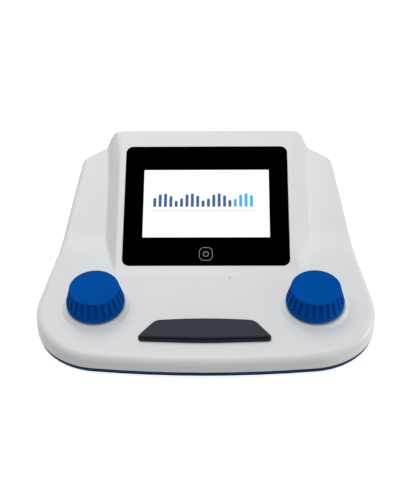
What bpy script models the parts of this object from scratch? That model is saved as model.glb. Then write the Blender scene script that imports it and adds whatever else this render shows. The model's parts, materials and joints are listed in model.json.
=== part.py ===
"""Desktop audiometer: a white wedge case on a blue tray, with a tilted touch screen, two fluted
dials and a tone paddle. Metres, +Z up, +Y towards the back, origin on the table under the middle.

Setbacks are measured from the case's front edge, and heights from the tray's underside.
"""

import math

import bmesh
import bpy
from mathutils import Euler, Matrix, Vector

MM = 0.001

# Case outline in plan
CASE_WIDTH = 272.8 * MM
CASE_DEPTH = 219.2 * MM
FRONT_BOW_SHARE = 0.99
FRONT_SWEEP = math.radians(6.35)
FRONT_CORNER_RADIUS = 56.4 * MM
FRONT_TAPER = math.radians(8.85)
REAR_TAPER = math.radians(11.9)
SIDE_BOW_SHARE = 0.882
REAR_CORNER_RADIUS = 9 * MM
SHOULDER_INSET = 48.8 * MM
SHOULDER_RADIUS = 12 * MM
SHOULDER_SWEEP = math.radians(27)

# Case heights and slopes
FOOT_HEIGHT = 2 * MM
TRAY_EDGE_HEIGHT = 4.3 * MM
TRAY_UNDERCUT = math.radians(14)
DECK_FRONT_HEIGHT = 15.9 * MM
DECK_TILT = math.radians(5.3)
CONSOLE_SETBACK = 99.1 * MM
CONSOLE_TILT = math.radians(29)
WING_DROP = 16.3 * MM
FLANK_LEAN = math.radians(32.3)
FLANK_SWELL = 1.3
FLANK_SPLAY = 0.26
FLANK_SWELL_REACH = 38 * MM
RIM_RADIUS = 6.2 * MM
REAR_RIM_RADIUS = 3 * MM
CONSOLE_EDGE_BLEND = 2.2 * MM
WING_FOOT_BLEND = 6 * MM
CONSOLE_FOOT_BLEND = 2.8 * MM
WALL = 2.5 * MM

# Clearances
GAP = 0.3 * MM
OVERRUN = 5 * MM

# Tray
FLOOR = 2.5 * MM
LIP_WALL = 1.5 * MM
LIP_HEIGHT = 3 * MM

# Feet
FOOT_RADIUS = 8 * MM
FOOT_SINK = 1 * MM
FOOT_ROUND = 0.8 * MM
FRONT_FOOT_INSET = 54.3 * MM
FRONT_FOOT_SETBACK = 22 * MM
REAR_FOOT_INSET = 51.3 * MM
REAR_FOOT_MARGIN = 32.5 * MM

# Screws through the tray into the cover's posts
CASE_SCREW_SHANK = 1.3 * MM
CASE_SCREW_HEAD_RADIUS = 2.8 * MM
CASE_SCREW_HEAD_HEIGHT = 1.8 * MM
CASE_SCREW_REACH = 5 * MM
CASE_SCREW_SINK = 1 * MM
SCREW_SEAT = 1.6 * MM
SCREW_TUBE_WALL = 1.7 * MM
POST_RADIUS = 4.2 * MM
FRONT_SCREW_INSET = 27.3 * MM
FRONT_SCREW_SETBACK = 36 * MM
MIDDLE_SCREW_INSET = 23.3 * MM
MIDDLE_SCREW_SETBACK = 112 * MM
REAR_SCREW_INSET = 44.3 * MM
REAR_SCREW_MARGIN = 15.5 * MM

# Screen: sizes lie in the console's plane, and depths run in from it
GLASS_SIDE_BORDER = 9.75 * MM
GLASS_END_BORDER = 18.85 * MM
CONSOLE_SIDE_BORDER = 5.9 * MM
GLASS_THICKNESS = 1.8 * MM
GLASS_CORNER_RADIUS = 6 * MM
GLASS_FOOT_MARGIN = 5.7 * MM
GASKET_THICKNESS = 0.5 * MM
GASKET_MARGIN = 2 * MM
LCD_WIDTH = 120.7 * MM
LCD_LENGTH = 75.8 * MM
LCD_THICKNESS = 3.2 * MM
LCD_RISE = 1.4 * MM
SHELF_MARGIN = 2.3 * MM
BRACKET_LAP = 7 * MM
BRACKET_RAIL = 14 * MM
BRACKET_SHEET = 1 * MM
DISPLAY_SCREW_INSET = 3.4 * MM
DISPLAY_SCREW_REACH = 1.6 * MM
TINY_SHANK = 0.9 * MM
TINY_HEAD_RADIUS = 1.8 * MM
TINY_HEAD_HEIGHT = 1.2 * MM
RIBBON_WIDTH = 22 * MM
RIBBON_THICKNESS = 0.4 * MM
RIBBON_DROP = 10 * MM
RIBBON_HANDLE = 14 * MM
RIBBON_SOCKET_WIDTH = 26 * MM
RIBBON_SOCKET_LENGTH = 5 * MM
RIBBON_SOCKET_HEIGHT = 2.2 * MM

# Dials: each has a low round seat on the deck, and heights are above that seat
DIAL_INSET = 48.55 * MM
DIAL_SETBACK = 59.2 * MM
SEAT_FOOT_RADIUS = 27.7 * MM
SEAT_TOP_RADIUS = 25.2 * MM
SEAT_HEIGHT = 2.6 * MM
KNOB_BASE_RADIUS = 23.4 * MM
KNOB_TOP_RADIUS = 20 * MM
KNOB_HEIGHT = 18 * MM
KNOB_LIFT = 0.8 * MM
KNOB_BAND_HEIGHT = 3.8 * MM
KNOB_FOOT_HEIGHT = 1.8 * MM
KNOB_FOOT_TUCK = 1.2 * MM
KNOB_WALL = 3 * MM
KNOB_TOP_THICKNESS = 3 * MM
KNOB_DISH = 0.6 * MM
KNOB_RIM = 1.6 * MM
KNOB_EDGE_ROUND = 1.2 * MM
FLUTES = 24
FLUTE_DEPTH = 1.8 * MM
FLUTE_SHARE = 0.46
HUB_RADIUS = 6 * MM
HUB_START = 6 * MM
SHAFT_RADIUS = 3 * MM
SHAFT_RISE = 13 * MM
BUSHING_RADIUS = 4.5 * MM
BUSHING_RISE = 4 * MM
NUT_RADIUS = 7 * MM
NUT_HEIGHT = 2.4 * MM
ENCODER_WIDTH = 14 * MM
ENCODER_HEIGHT = 6 * MM
ENCODER_WALL = 1.2 * MM
ROTOR_HEIGHT = 2 * MM
DIAL_BOARD_WIDTH = 28 * MM
DIAL_BOARD_LENGTH = 22 * MM
BOARD_THICKNESS = 1.6 * MM

# Tone key: heights are above the deck, square to it, and lengths run back from its front edge
KEY_FRONT_WIDTH = 104 * MM
KEY_BACK_WIDTH = 78 * MM
KEY_LENGTH = 20.6 * MM
KEY_SETBACK = 20.6 * MM
KEY_FRONT_BOW_RADIUS = 420 * MM
KEY_FRONT_SWEEP = math.radians(2.2)
KEY_BACK_BOW_RADIUS = 400 * MM
KEY_BACK_SWEEP = math.radians(4.3)
KEY_FRONT_CORNER = 1.7 * MM
KEY_BACK_CORNER = 9 * MM
KEY_PLATE = 1.9 * MM
KEY_TOP_ROUND = 0.9 * MM
SURROUND_STEP = 1.4 * MM
SURROUND_RISE = 2.3 * MM
SURROUND_ROUND = 0.5 * MM
KEY_TRAVEL_GAP = 0.8 * MM
KEY_WELL_INSET = 3 * MM
KEY_WELL_CORNER = 1.5 * MM
HINGE_DEPTH = 6.5 * MM
HINGE_INSET = 7.5 * MM
HINGE_SPREAD = 44 * MM
HINGE_ARM_WIDTH = 4 * MM
HINGE_EYE_RADIUS = 2.8 * MM
HINGE_PIN_RADIUS = 1.2 * MM
LUG_WIDTH = 2.5 * MM
PIN_OVERHANG = 1 * MM
SWITCH_WIDTH = 6 * MM
SWITCH_HEIGHT = 3.4 * MM
SWITCH_CAP_RADIUS = 1.7 * MM
SWITCH_CAP_HEIGHT = 0.9 * MM
SWITCH_LEAD = 4.8 * MM
SWITCH_FREE_GAP = 0.7 * MM
PLUNGER_RADIUS = 2.2 * MM
KEY_BOARD_WIDTH = 28 * MM
KEY_BOARD_LENGTH = 9 * MM
CRADLE_SHEET = 1.5 * MM
CRADLE_DEPTH = 11.5 * MM
CRADLE_WIDTH = 134 * MM
CRADLE_FRONT_MARGIN = 3 * MM
CRADLE_BACK_MARGIN = 6 * MM
CRADLE_SCREW_INSET = 5 * MM
CRADLE_POST_RADIUS = 3.2 * MM
SMALL_SHANK = 1 * MM
SMALL_REACH = 4 * MM
SMALL_HEAD_RADIUS = 2 * MM
SMALL_HEAD_HEIGHT = 1 * MM
SPRING_SPREAD = 70 * MM
SPRING_RADIUS = 2.4 * MM
SPRING_WIRE = 0.35 * MM
SPRING_TURNS = 5
SPRING_SIDES = 6

# Microphone behind its pinhole in the deck
MIC_OFFSET = 19.7 * MM
MIC_SETBACK = 92.1 * MM
MIC_RADIUS = 3 * MM
MIC_HEIGHT = 2.2 * MM
MIC_HOLE_RADIUS = 0.7 * MM
MIC_CUP_WALL = 1 * MM

# Main board and what stands on it
BOARD_SIDE_MARGIN = 1 * MM
BOARD_LENGTH = 74 * MM
BOARD_HEIGHT = 9.5 * MM
BOARD_SCREW_INSET = 5 * MM
STANDOFF_RADIUS = 3.2 * MM
CHIP_SIZE = 14 * MM
CHIP_HEIGHT = 1.4 * MM
CHIP_INSET = 35 * MM
SHIELD_WIDTH = 44 * MM
SHIELD_LENGTH = 20 * MM
SHIELD_HEIGHT = 3 * MM
BOARD_FRONT_MARGIN = 6 * MM
HEADER_HEIGHT = 5 * MM

# Rear connectors stand on the main board behind the rear panel
PANEL_SIDE_INSET = 60.3 * MM
PANEL_HEIGHT = 25 * MM
PANEL_THICKNESS = 2 * MM
PANEL_LAP = 2.5 * MM
WINDOW_HEIGHT = 14.6 * MM
JACK_WIDTH = 13 * MM
JACK_LENGTH = 24 * MM
JACK_HEIGHT = 13 * MM
JACK_BORE = 3.25 * MM
JACK_BORE_DEPTH = 18 * MM
JACK_COLLAR = 5.2 * MM
USB_WIDTH = 12 * MM
USB_HEIGHT = 10.6 * MM
USB_LENGTH = 16 * MM
USB_SHELL = 1.2 * MM
USB_TONGUE_WIDTH = 5.6 * MM
USB_TONGUE_HEIGHT = 3.2 * MM
USB_TONGUE_SINK = 4.8 * MM
INLET_WIDTH = 10 * MM
INLET_HEIGHT = 11 * MM
INLET_LENGTH = 14 * MM
INLET_BORE = 3.2 * MM
INLET_BORE_DEPTH = 9 * MM
INLET_PIN = 1 * MM
INLET_PIN_SINK = 4.8 * MM

# Fineness of round shapes
ARC_STEP = math.radians(11)
ARC_LEAST_STEPS = 4
ROUND_SIDES = 22
SMALL_SIDES = 12
RIM_STEPS = 3
CURVE_STEPS = 12
COIL_STEPS = 10
WELD = 0.001 * MM
BLEND_SHARES = (-1, -0.35, 0.35, 1)
FLANK_ROW_SHARES = (0.2, 0.4, 0.6, 0.8)
SWELL_ROW_SHARES = (0.3, 0.65, 1)
SWELL_COLUMN_SHARES = (0.35, 0.65, 0.85, 1.25)

FRONT = -CASE_DEPTH / 2
BACK = CASE_DEPTH / 2
UNDERSIDE = FOOT_HEIGHT
FLOOR_TOP = UNDERSIDE + FLOOR
SPLIT = UNDERSIDE + TRAY_EDGE_HEIGHT
ROOF = WALL / math.cos(CONSOLE_TILT)
DECK_UNDER = -ROOF * math.cos(DECK_TILT)
FLANK_SPREAD = math.tan(FLANK_LEAN)
GLASS_WIDTH = LCD_WIDTH + 2 * GLASS_SIDE_BORDER
GLASS_LENGTH = LCD_LENGTH + 2 * GLASS_END_BORDER
CONSOLE_WIDTH = GLASS_WIDTH + 2 * CONSOLE_SIDE_BORDER
DIAL_SPACING = CASE_WIDTH - 2 * DIAL_INSET
PANEL_WIDTH = CASE_WIDTH - 2 * PANEL_SIDE_INSET
BOARD_WIDTH = PANEL_WIDTH - 2 * BOARD_SIDE_MARGIN
CHIP_OFFSET = BOARD_WIDTH / 2 - CHIP_INSET

FINISHES = {
    "cover_plastic": ((0.72, 0.73, 0.73), 0.45, 0.0),
    "tray_plastic": ((0.012, 0.06, 0.2), 0.4, 0.0),
    "knob_plastic": ((0.0, 0.085, 0.36), 0.45, 0.0),
    "key_plastic": ((0.045, 0.052, 0.065), 0.6, 0.0),
    "surround_plastic": ((0.02, 0.024, 0.034), 0.6, 0.0),
    "screen_glass": ((0.004, 0.004, 0.005), 0.08, 0.0),
    "foam": ((0.03, 0.03, 0.03), 0.9, 0.0),
    "lcd": ((0.85, 0.87, 0.9), 0.3, 0.0),
    "steel": ((0.55, 0.56, 0.58), 0.35, 1.0),
    "board": ((0.02, 0.16, 0.06), 0.5, 0.0),
    "foot_rubber": ((0.02, 0.02, 0.022), 0.8, 0.0),
    "panel_plastic": ((0.06, 0.065, 0.075), 0.55, 0.0),
    "socket_plastic": ((0.02, 0.02, 0.02), 0.5, 0.0),
    "ribbon": ((0.5, 0.32, 0.1), 0.5, 0.0),
}


# Building blocks


def clear_scene():
    for thing in list(bpy.data.objects):
        bpy.data.objects.remove(thing)


def finish_material(finish):
    material = bpy.data.materials.get(finish)
    if material is None:
        colour, roughness, metallic = FINISHES[finish]
        material = bpy.data.materials.new(finish)
        material.use_nodes = True
        shader = material.node_tree.nodes["Principled BSDF"]
        shader.inputs["Base Color"].default_value = (*colour, 1)
        shader.inputs["Roughness"].default_value = roughness
        shader.inputs["Metallic"].default_value = metallic
    return material


def solid(name, shape, finish=None, parent=None, place=(0, 0, 0)):
    """An object made from a bmesh, with its faces turned outwards. A cutter has no finish."""
    bmesh.ops.recalc_face_normals(shape, faces=shape.faces)
    mesh = bpy.data.meshes.new(name)
    shape.to_mesh(mesh)
    shape.free()
    if finish:
        mesh.materials.append(finish_material(finish))
    made = bpy.data.objects.new(name, mesh)
    bpy.context.collection.objects.link(made)
    made.parent = parent
    made.location = place
    return made


def datum(name, place, tilt):
    """An empty that a tilted group is built on: its X runs right and its Z out of the surface."""
    made = bpy.data.objects.new(name, None)
    bpy.context.collection.objects.link(made)
    made.location = place
    made.rotation_euler = Euler((tilt, 0, 0))
    return made


def combine(target, tool, operation):
    """Cuts or joins the target with the tool, which is used up."""
    modifier = target.modifiers.new(operation, "BOOLEAN")
    modifier.operation = operation
    modifier.object = tool
    bpy.context.view_layer.update()
    graph = bpy.context.evaluated_depsgraph_get()
    shaped = bpy.data.meshes.new_from_object(target.evaluated_get(graph))
    target.modifiers.clear()
    target.data = shaped
    bpy.data.objects.remove(tool)
    weld(shaped)


def weld(mesh):
    """Merges corners that lie on each other."""
    shape = bmesh.new()
    shape.from_mesh(mesh)
    bmesh.ops.remove_doubles(shape, verts=shape.verts, dist=WELD)
    bmesh.ops.dissolve_degenerate(shape, edges=shape.edges, dist=WELD)
    shape.to_mesh(mesh)
    shape.free()


def cut(target, *tools):
    for tool in tools:
        combine(target, tool, "DIFFERENCE")


def join(target, *tools):
    for tool in tools:
        combine(target, tool, "UNION")


def loft(name, rings, finish=None, parent=None, place=(0, 0, 0)):
    """Skins rings of points, each with as many points as the next, and caps both ends."""
    shape = bmesh.new()
    rows = [[shape.verts.new(point) for point in ring] for ring in rings]
    for low, high in zip(rows, rows[1:]):
        pairs = list(zip(low, high))
        for (a, b), (c, d) in zip(pairs, pairs[1:] + pairs[:1]):
            shape.faces.new((a, c, d, b))
    shape.faces.new(rows[0][::-1])
    shape.faces.new(rows[-1])
    return solid(name, shape, finish, parent, place)


def level(points, height):
    return [(x, y, height) for x, y in points]


def prism(name, points, low, high, finish=None, parent=None, place=(0, 0, 0)):
    """An outline raised from one height to another."""
    return loft(name, [level(points, low), level(points, high)], finish, parent, place)


def block(name, width, length, low, high, finish=None, parent=None, place=(0, 0, 0)):
    """A box centred on its place in plan."""
    return prism(name, rounded_rectangle(width, length), low, high, finish, parent, place)


def turned(name, profile, finish=None, parent=None, place=(0, 0, 0), sides=ROUND_SIDES):
    """A solid of revolution about Z from a profile of (radius, height) that starts and ends on it."""
    shape = bmesh.new()
    points = [shape.verts.new((radius, 0, height)) for radius, height in profile]
    edges = [shape.edges.new(pair) for pair in zip(points, points[1:])]
    bmesh.ops.spin(
        shape,
        geom=points + edges,
        cent=(0, 0, 0),
        axis=(0, 0, 1),
        angle=math.tau,
        steps=sides,
        use_merge=True,
    )
    bmesh.ops.remove_doubles(shape, verts=shape.verts, dist=WELD)
    return solid(name, shape, finish, parent, place)


def cylinder(name, radius, low, high, finish=None, parent=None, place=(0, 0, 0), sides=ROUND_SIDES):
    profile = [(0, low), (radius, low), (radius, high), (0, high)]
    return turned(name, profile, finish, parent, place, sides)


def crossbar(name, radius, left, right, finish=None, parent=None, place=(0, 0, 0), sides=SMALL_SIDES):
    """A cylinder along X."""
    made = cylinder(name, radius, left, right, finish, parent, place, sides)
    made.data.transform(Matrix.Rotation(math.pi / 2, 4, "Y"))
    return made


def rounded_rectangle(width, length, radius=0):
    """A rectangle's outline, with an arc at each corner if it has a radius."""
    steps = math.ceil(math.pi / 2 / ARC_STEP) if radius else 0
    points = []
    for quarter, (side, end) in enumerate([(1, 1), (-1, 1), (-1, -1), (1, -1)]):
        for step in range(steps + 1):
            angle = (quarter + step / max(steps, 1)) * math.pi / 2
            x = side * (width / 2 - radius) + radius * math.cos(angle)
            y = end * (length / 2 - radius) + radius * math.sin(angle)
            points.append((x, y))
    return points


def circle(radius, sides):
    turns = [math.tau * index / sides for index in range(sides)]
    return [(radius * math.cos(turn), radius * math.sin(turn)) for turn in turns]


class Outline:
    """A closed plan outline of straight runs and arcs, counter-clockwise from its front middle."""

    def __init__(self, corners):
        self.corners = corners
        self.arcs = []
        places = [Vector(corner[:2]) for corner in corners]
        for index, (x, y, radius) in enumerate(corners):
            here = places[index]
            into = (here - places[index - 1]).normalized()
            out = (places[(index + 1) % len(places)] - here).normalized()
            turn = -into.angle_signed(out)
            start = here - into * radius * math.tan(turn / 2)
            heading = math.atan2(into.y, into.x)
            centre = start + radius * Vector((-math.sin(heading), math.cos(heading)))
            self.arcs.append((centre, radius, heading, turn))

    def walk(self):
        """Every point of the outline with its outward normal."""
        found = []
        for centre, radius, heading, turn in self.arcs:
            steps = max(ARC_LEAST_STEPS, math.ceil(turn / ARC_STEP))
            for step in range(steps + 1):
                angle = heading + turn * step / steps - math.pi / 2
                normal = Vector((math.cos(angle), math.sin(angle)))
                found.append((centre + radius * normal, normal))
        return found

    def loop(self, offset=0):
        """The outline moved outwards by an offset."""
        return [tuple(point + normal * offset) for point, normal in self.walk()]

    def inset(self, depth, least_radius):
        """A smaller outline, whose straight runs lie a depth inside this one's."""
        moved = []
        places = [Vector(corner[:2]) for corner in self.corners]
        for index, here in enumerate(places):
            into = (here - places[index - 1]).normalized()
            out = (places[(index + 1) % len(places)] - here).normalized()
            inward = Vector((-into.y - out.y, into.x + out.x)) / (1 + into.dot(out))
            radius = max(self.corners[index][2] - depth, least_radius)
            moved.append((*(here + inward * depth), radius))
        return Outline(moved)


def mirrored(corners):
    """A symmetric outline's corners, from those on its centre line and right of it."""
    return corners + [(-x, y, radius) for x, y, radius in reversed(corners) if x]


def bow(edge, radius, sweep):
    """The corner whose arc bows out from the middle of an edge, on the side the radius has."""
    return (0, edge - radius * (1 / math.cos(sweep) - 1))


def meet(first, first_heading, second, second_heading):
    """Where two lines in plan cross."""
    a = Vector((math.cos(first_heading), math.sin(first_heading)))
    b = Vector((math.cos(second_heading), math.sin(second_heading)))
    between = Vector(second) - Vector(first)
    return Vector(first) + a * (between.cross(b) / a.cross(b))


def blended_max(a, b, blend):
    """The higher of two heights, rounded where they come within the blend of each other."""
    share = max(0, min(1, (a - b) / (2 * blend) + 1 / 2))
    return b + (a - b) * share + blend * share * (1 - share)


def blended_min(a, b, blend):
    return -blended_max(-a, -b, blend)


# Case form


def case_outline():
    """The plan: a bowed front, large front corners, tapering sides and a back with swept shoulders."""
    centre_x = CASE_WIDTH / 2 - FRONT_CORNER_RADIUS
    front_bow_radius = FRONT_BOW_SHARE * (centre_x / math.sin(FRONT_SWEEP) + FRONT_CORNER_RADIUS)
    nose = bow(FRONT, front_bow_radius, FRONT_SWEEP)
    centre_y = nose[1] + centre_x * math.tan(FRONT_SWEEP) + FRONT_CORNER_RADIUS / math.cos(FRONT_SWEEP)
    side = (
        centre_x + FRONT_CORNER_RADIUS * math.cos(FRONT_TAPER),
        centre_y + FRONT_CORNER_RADIUS * math.sin(FRONT_TAPER),
    )
    front_corner = meet(nose, FRONT_SWEEP, side, math.pi / 2 + FRONT_TAPER)
    waist = meet(side, math.pi / 2 + FRONT_TAPER, (0, (side[1] + BACK) / 2), 0)
    shoulder = (CASE_WIDTH / 2 - SHOULDER_INSET, BACK)
    rear_corner = meet(waist, math.pi / 2 + REAR_TAPER, shoulder, -SHOULDER_SWEEP)
    rear_turn = math.pi / 2 - REAR_TAPER - SHOULDER_SWEEP
    side_run = (rear_corner - waist).length - REAR_CORNER_RADIUS * math.tan(rear_turn / 2)
    side_bow_radius = SIDE_BOW_SHARE * side_run / math.tan((REAR_TAPER - FRONT_TAPER) / 2)
    return Outline(
        mirrored(
            [
                (*nose, front_bow_radius),
                (*front_corner, FRONT_CORNER_RADIUS),
                (*waist, side_bow_radius),
                (*rear_corner, REAR_CORNER_RADIUS),
                (*shoulder, SHOULDER_RADIUS),
            ]
        )
    )


def deck_height(y):
    return UNDERSIDE + DECK_FRONT_HEIGHT + (y - FRONT) * math.tan(DECK_TILT)


def console_height(y):
    start = FRONT + CONSOLE_SETBACK
    return deck_height(start) + (y - start) * math.tan(CONSOLE_TILT)


def skin_height(x, y):
    """The case's top: the deck, the raised console, the wings beside it and the flanks between.

    The flanks are flat, but swell and spread towards the back.
    """
    wing = blended_max(deck_height(y), console_height(y) - WING_DROP, WING_FOOT_BLEND)
    across = (x - CONSOLE_WIDTH / 2) / (WING_DROP * FLANK_SPREAD)
    rear = max(0, 1 - (BACK - y) / FLANK_SWELL_REACH) ** 2
    fall = across if across < 0 else (across / (1 + FLANK_SPLAY * rear)) ** (1 + FLANK_SWELL * rear)
    flank = console_height(y) - WING_DROP * fall
    console = blended_min(console_height(y), flank, CONSOLE_EDGE_BLEND)
    return blended_max(wing, console, CONSOLE_FOOT_BLEND * (1 + rear))


def crease_columns():
    """Where the skin bends across the case: the console's edges and its flanks, down to their feet."""
    edge = CONSOLE_WIDTH / 2
    width = WING_DROP * FLANK_SPREAD
    found = [edge + width * share for share in SWELL_COLUMN_SHARES]
    for centre, blend in ((edge, CONSOLE_EDGE_BLEND), (edge + width, CONSOLE_FOOT_BLEND)):
        found += [centre + blend * FLANK_SPREAD * share for share in BLEND_SHARES]
    return found


def crease_rows():
    """Where the skin bends along the case: the console's foot and the wings' feet."""
    rise = math.tan(CONSOLE_TILT) - math.tan(DECK_TILT)
    start = FRONT + CONSOLE_SETBACK
    reach = WING_DROP / rise
    found = [start + reach * share for share in FLANK_ROW_SHARES]
    found += [BACK - FLANK_SWELL_REACH * share for share in SWELL_ROW_SHARES]
    for centre, blend in ((start, CONSOLE_FOOT_BLEND), (start + reach, WING_FOOT_BLEND)):
        found += [centre + blend / rise * share for share in BLEND_SHARES]
    return found


def case_solid(name, inset, roof, low, finish=None):
    """What lies under the case's skin, an inset in from its outline and a roof's thickness down."""
    shape = bmesh.new()
    walk = case_outline().walk()
    rows = []
    for step in range(RIM_STEPS + 1):
        angle = math.pi / 2 * step / RIM_STEPS
        row = []
        for point, normal in walk:
            rim = RIM_RADIUS + (REAR_RIM_RADIUS - RIM_RADIUS) * max(0, normal.y) - inset
            place = point - normal * (inset + rim * (1 - math.cos(angle)))
            row.append(shape.verts.new((*place, -rim * (1 - math.sin(angle)))))
        rows.append(row)
    for outer, inner in zip(rows, rows[1:]):
        for index, corner in enumerate(outer):
            shape.faces.new((outer[index - 1], corner, inner[index], inner[index - 1]))
    shape.faces.new(rows[-1])
    shift = inset / 2
    columns = [side * (column - shift) for column in crease_columns() for side in (-1, 1)]
    for axis, places in ((Vector((1, 0, 0)), [0] + columns), (Vector((0, 1, 0)), crease_rows())):
        for place in places:
            everything = shape.verts[:] + shape.edges[:] + shape.faces[:]
            bmesh.ops.bisect_plane(
                shape, geom=everything, dist=WELD, plane_co=axis * place, plane_no=axis
            )
    for corner in shape.verts:
        corner.co.z += skin_height(abs(corner.co.x) + shift, corner.co.y) - roof
    bmesh.ops.triangulate(shape, faces=shape.faces)
    border = [edge for edge in shape.edges if edge.is_boundary]
    raised = bmesh.ops.extrude_edge_only(shape, edges=border)["geom"]
    for part in raised:
        if isinstance(part, bmesh.types.BMVert):
            part.co.z = low
    bottom = [part for part in raised if isinstance(part, bmesh.types.BMEdge)]
    bmesh.ops.holes_fill(shape, edges=[edge for edge in bottom if edge.is_boundary])
    return solid(name, shape, finish)


def paired(inset, y):
    """Two places in plan, each an inset in from the case's widest part."""
    return [(side * (CASE_WIDTH / 2 - inset), y) for side in (-1, 1)]


def case_screw_places():
    return (
        paired(FRONT_SCREW_INSET, FRONT + FRONT_SCREW_SETBACK)
        + paired(MIDDLE_SCREW_INSET, FRONT + MIDDLE_SCREW_SETBACK)
        + paired(REAR_SCREW_INSET, BACK - REAR_SCREW_MARGIN)
    )


def foot_places():
    front = paired(FRONT_FOOT_INSET, FRONT + FRONT_FOOT_SETBACK)
    rear = paired(REAR_FOOT_INSET, BACK - REAR_FOOT_MARGIN)
    return dict(zip(("front_left", "front_right", "rear_left", "rear_right"), front + rear))


def cradle_screw_places():
    row = HINGE_PLACE - SWITCH_LEAD
    return [(side * (CRADLE_WIDTH / 2 - CRADLE_SCREW_INSET), row, 0) for side in (-1, 1)]


def board_screw_places():
    """Two at the board's front corners and two in front of the rear sockets."""
    across = BOARD_WIDTH / 2 - BOARD_SCREW_INSET
    front = board_middle() - BOARD_LENGTH / 2 + BOARD_SCREW_INSET
    rear = BOARD_REAR - JACK_LENGTH - BOARD_SCREW_INSET
    return [(side * across, row) for row in (front, rear) for side in (-1, 1)]


# The rear, from the panel's outer face inwards
PANEL_FACE = BACK - WALL - GAP - LIP_WALL - GAP
PANEL_BACK = PANEL_FACE - PANEL_THICKNESS
BOARD_REAR = PANEL_BACK - GAP
BOARD_UNDER = UNDERSIDE + BOARD_HEIGHT
BOARD_TOP = BOARD_UNDER + BOARD_THICKNESS
SOCKET_BASE = BOARD_TOP + GAP
JACK_AXIS = SOCKET_BASE + JACK_HEIGHT / 2

# Case screws, upwards from the tray's underside
HEAD_BASE = UNDERSIDE + CASE_SCREW_SINK
HEAD_TOP = HEAD_BASE + CASE_SCREW_HEAD_HEIGHT
TUBE_TOP = HEAD_TOP + GAP + SCREW_SEAT
POST_BASE = TUBE_TOP + GAP

# The screen's layers, inwards from the console's surface
GLASS_BACK = -GLASS_THICKNESS
GASKET_FRONT = GLASS_BACK - GAP
GASKET_BACK = GASKET_FRONT - GASKET_THICKNESS
SHELF_FRONT = GASKET_BACK - GAP
LCD_FRONT = GASKET_FRONT
LCD_BACK = LCD_FRONT - LCD_THICKNESS
BRACKET_FRONT = LCD_BACK - GAP
BRACKET_BACK = BRACKET_FRONT - BRACKET_SHEET

# Levels above a dial's seat and above the deck at the tone key
SEAT_UNDER = DECK_UNDER - SEAT_HEIGHT
ENCODER_TOP = SEAT_UNDER - GAP
ENCODER_BASE = ENCODER_TOP - ENCODER_HEIGHT
SURROUND_TOP = SURROUND_RISE + GAP
KEY_UNDER = SURROUND_TOP + KEY_TRAVEL_GAP
KEY_TOP = KEY_UNDER + KEY_PLATE
CRADLE_TOP = -CRADLE_DEPTH
SWITCH_TOP = CRADLE_TOP + GAP + BOARD_THICKNESS + GAP + SWITCH_HEIGHT + SWITCH_CAP_HEIGHT
HINGE_PLACE = KEY_LENGTH - HINGE_INSET


def board_middle():
    return BOARD_REAR - BOARD_LENGTH / 2


def on_deck(name, x, setback):
    y = FRONT + setback
    return datum(name, (x, y, deck_height(y)), DECK_TILT)


def key_outline():
    """The tone key in plan, on the deck, with its front edge's middle at the datum."""
    front = bow(0, KEY_FRONT_BOW_RADIUS, KEY_FRONT_SWEEP)
    back = bow(-KEY_LENGTH, KEY_BACK_BOW_RADIUS, KEY_BACK_SWEEP)
    corner_drop = math.tan(KEY_FRONT_SWEEP) * KEY_FRONT_WIDTH / 2
    corner_lift = math.tan(KEY_BACK_SWEEP) * KEY_BACK_WIDTH / 2
    return Outline(
        mirrored(
            [
                (*front, KEY_FRONT_BOW_RADIUS),
                (KEY_FRONT_WIDTH / 2, front[1] + corner_drop, KEY_FRONT_CORNER),
                (KEY_BACK_WIDTH / 2, -back[1] - corner_lift, KEY_BACK_CORNER),
                (0, -back[1], KEY_BACK_BOW_RADIUS),
            ]
        )
    )


# Case


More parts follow.
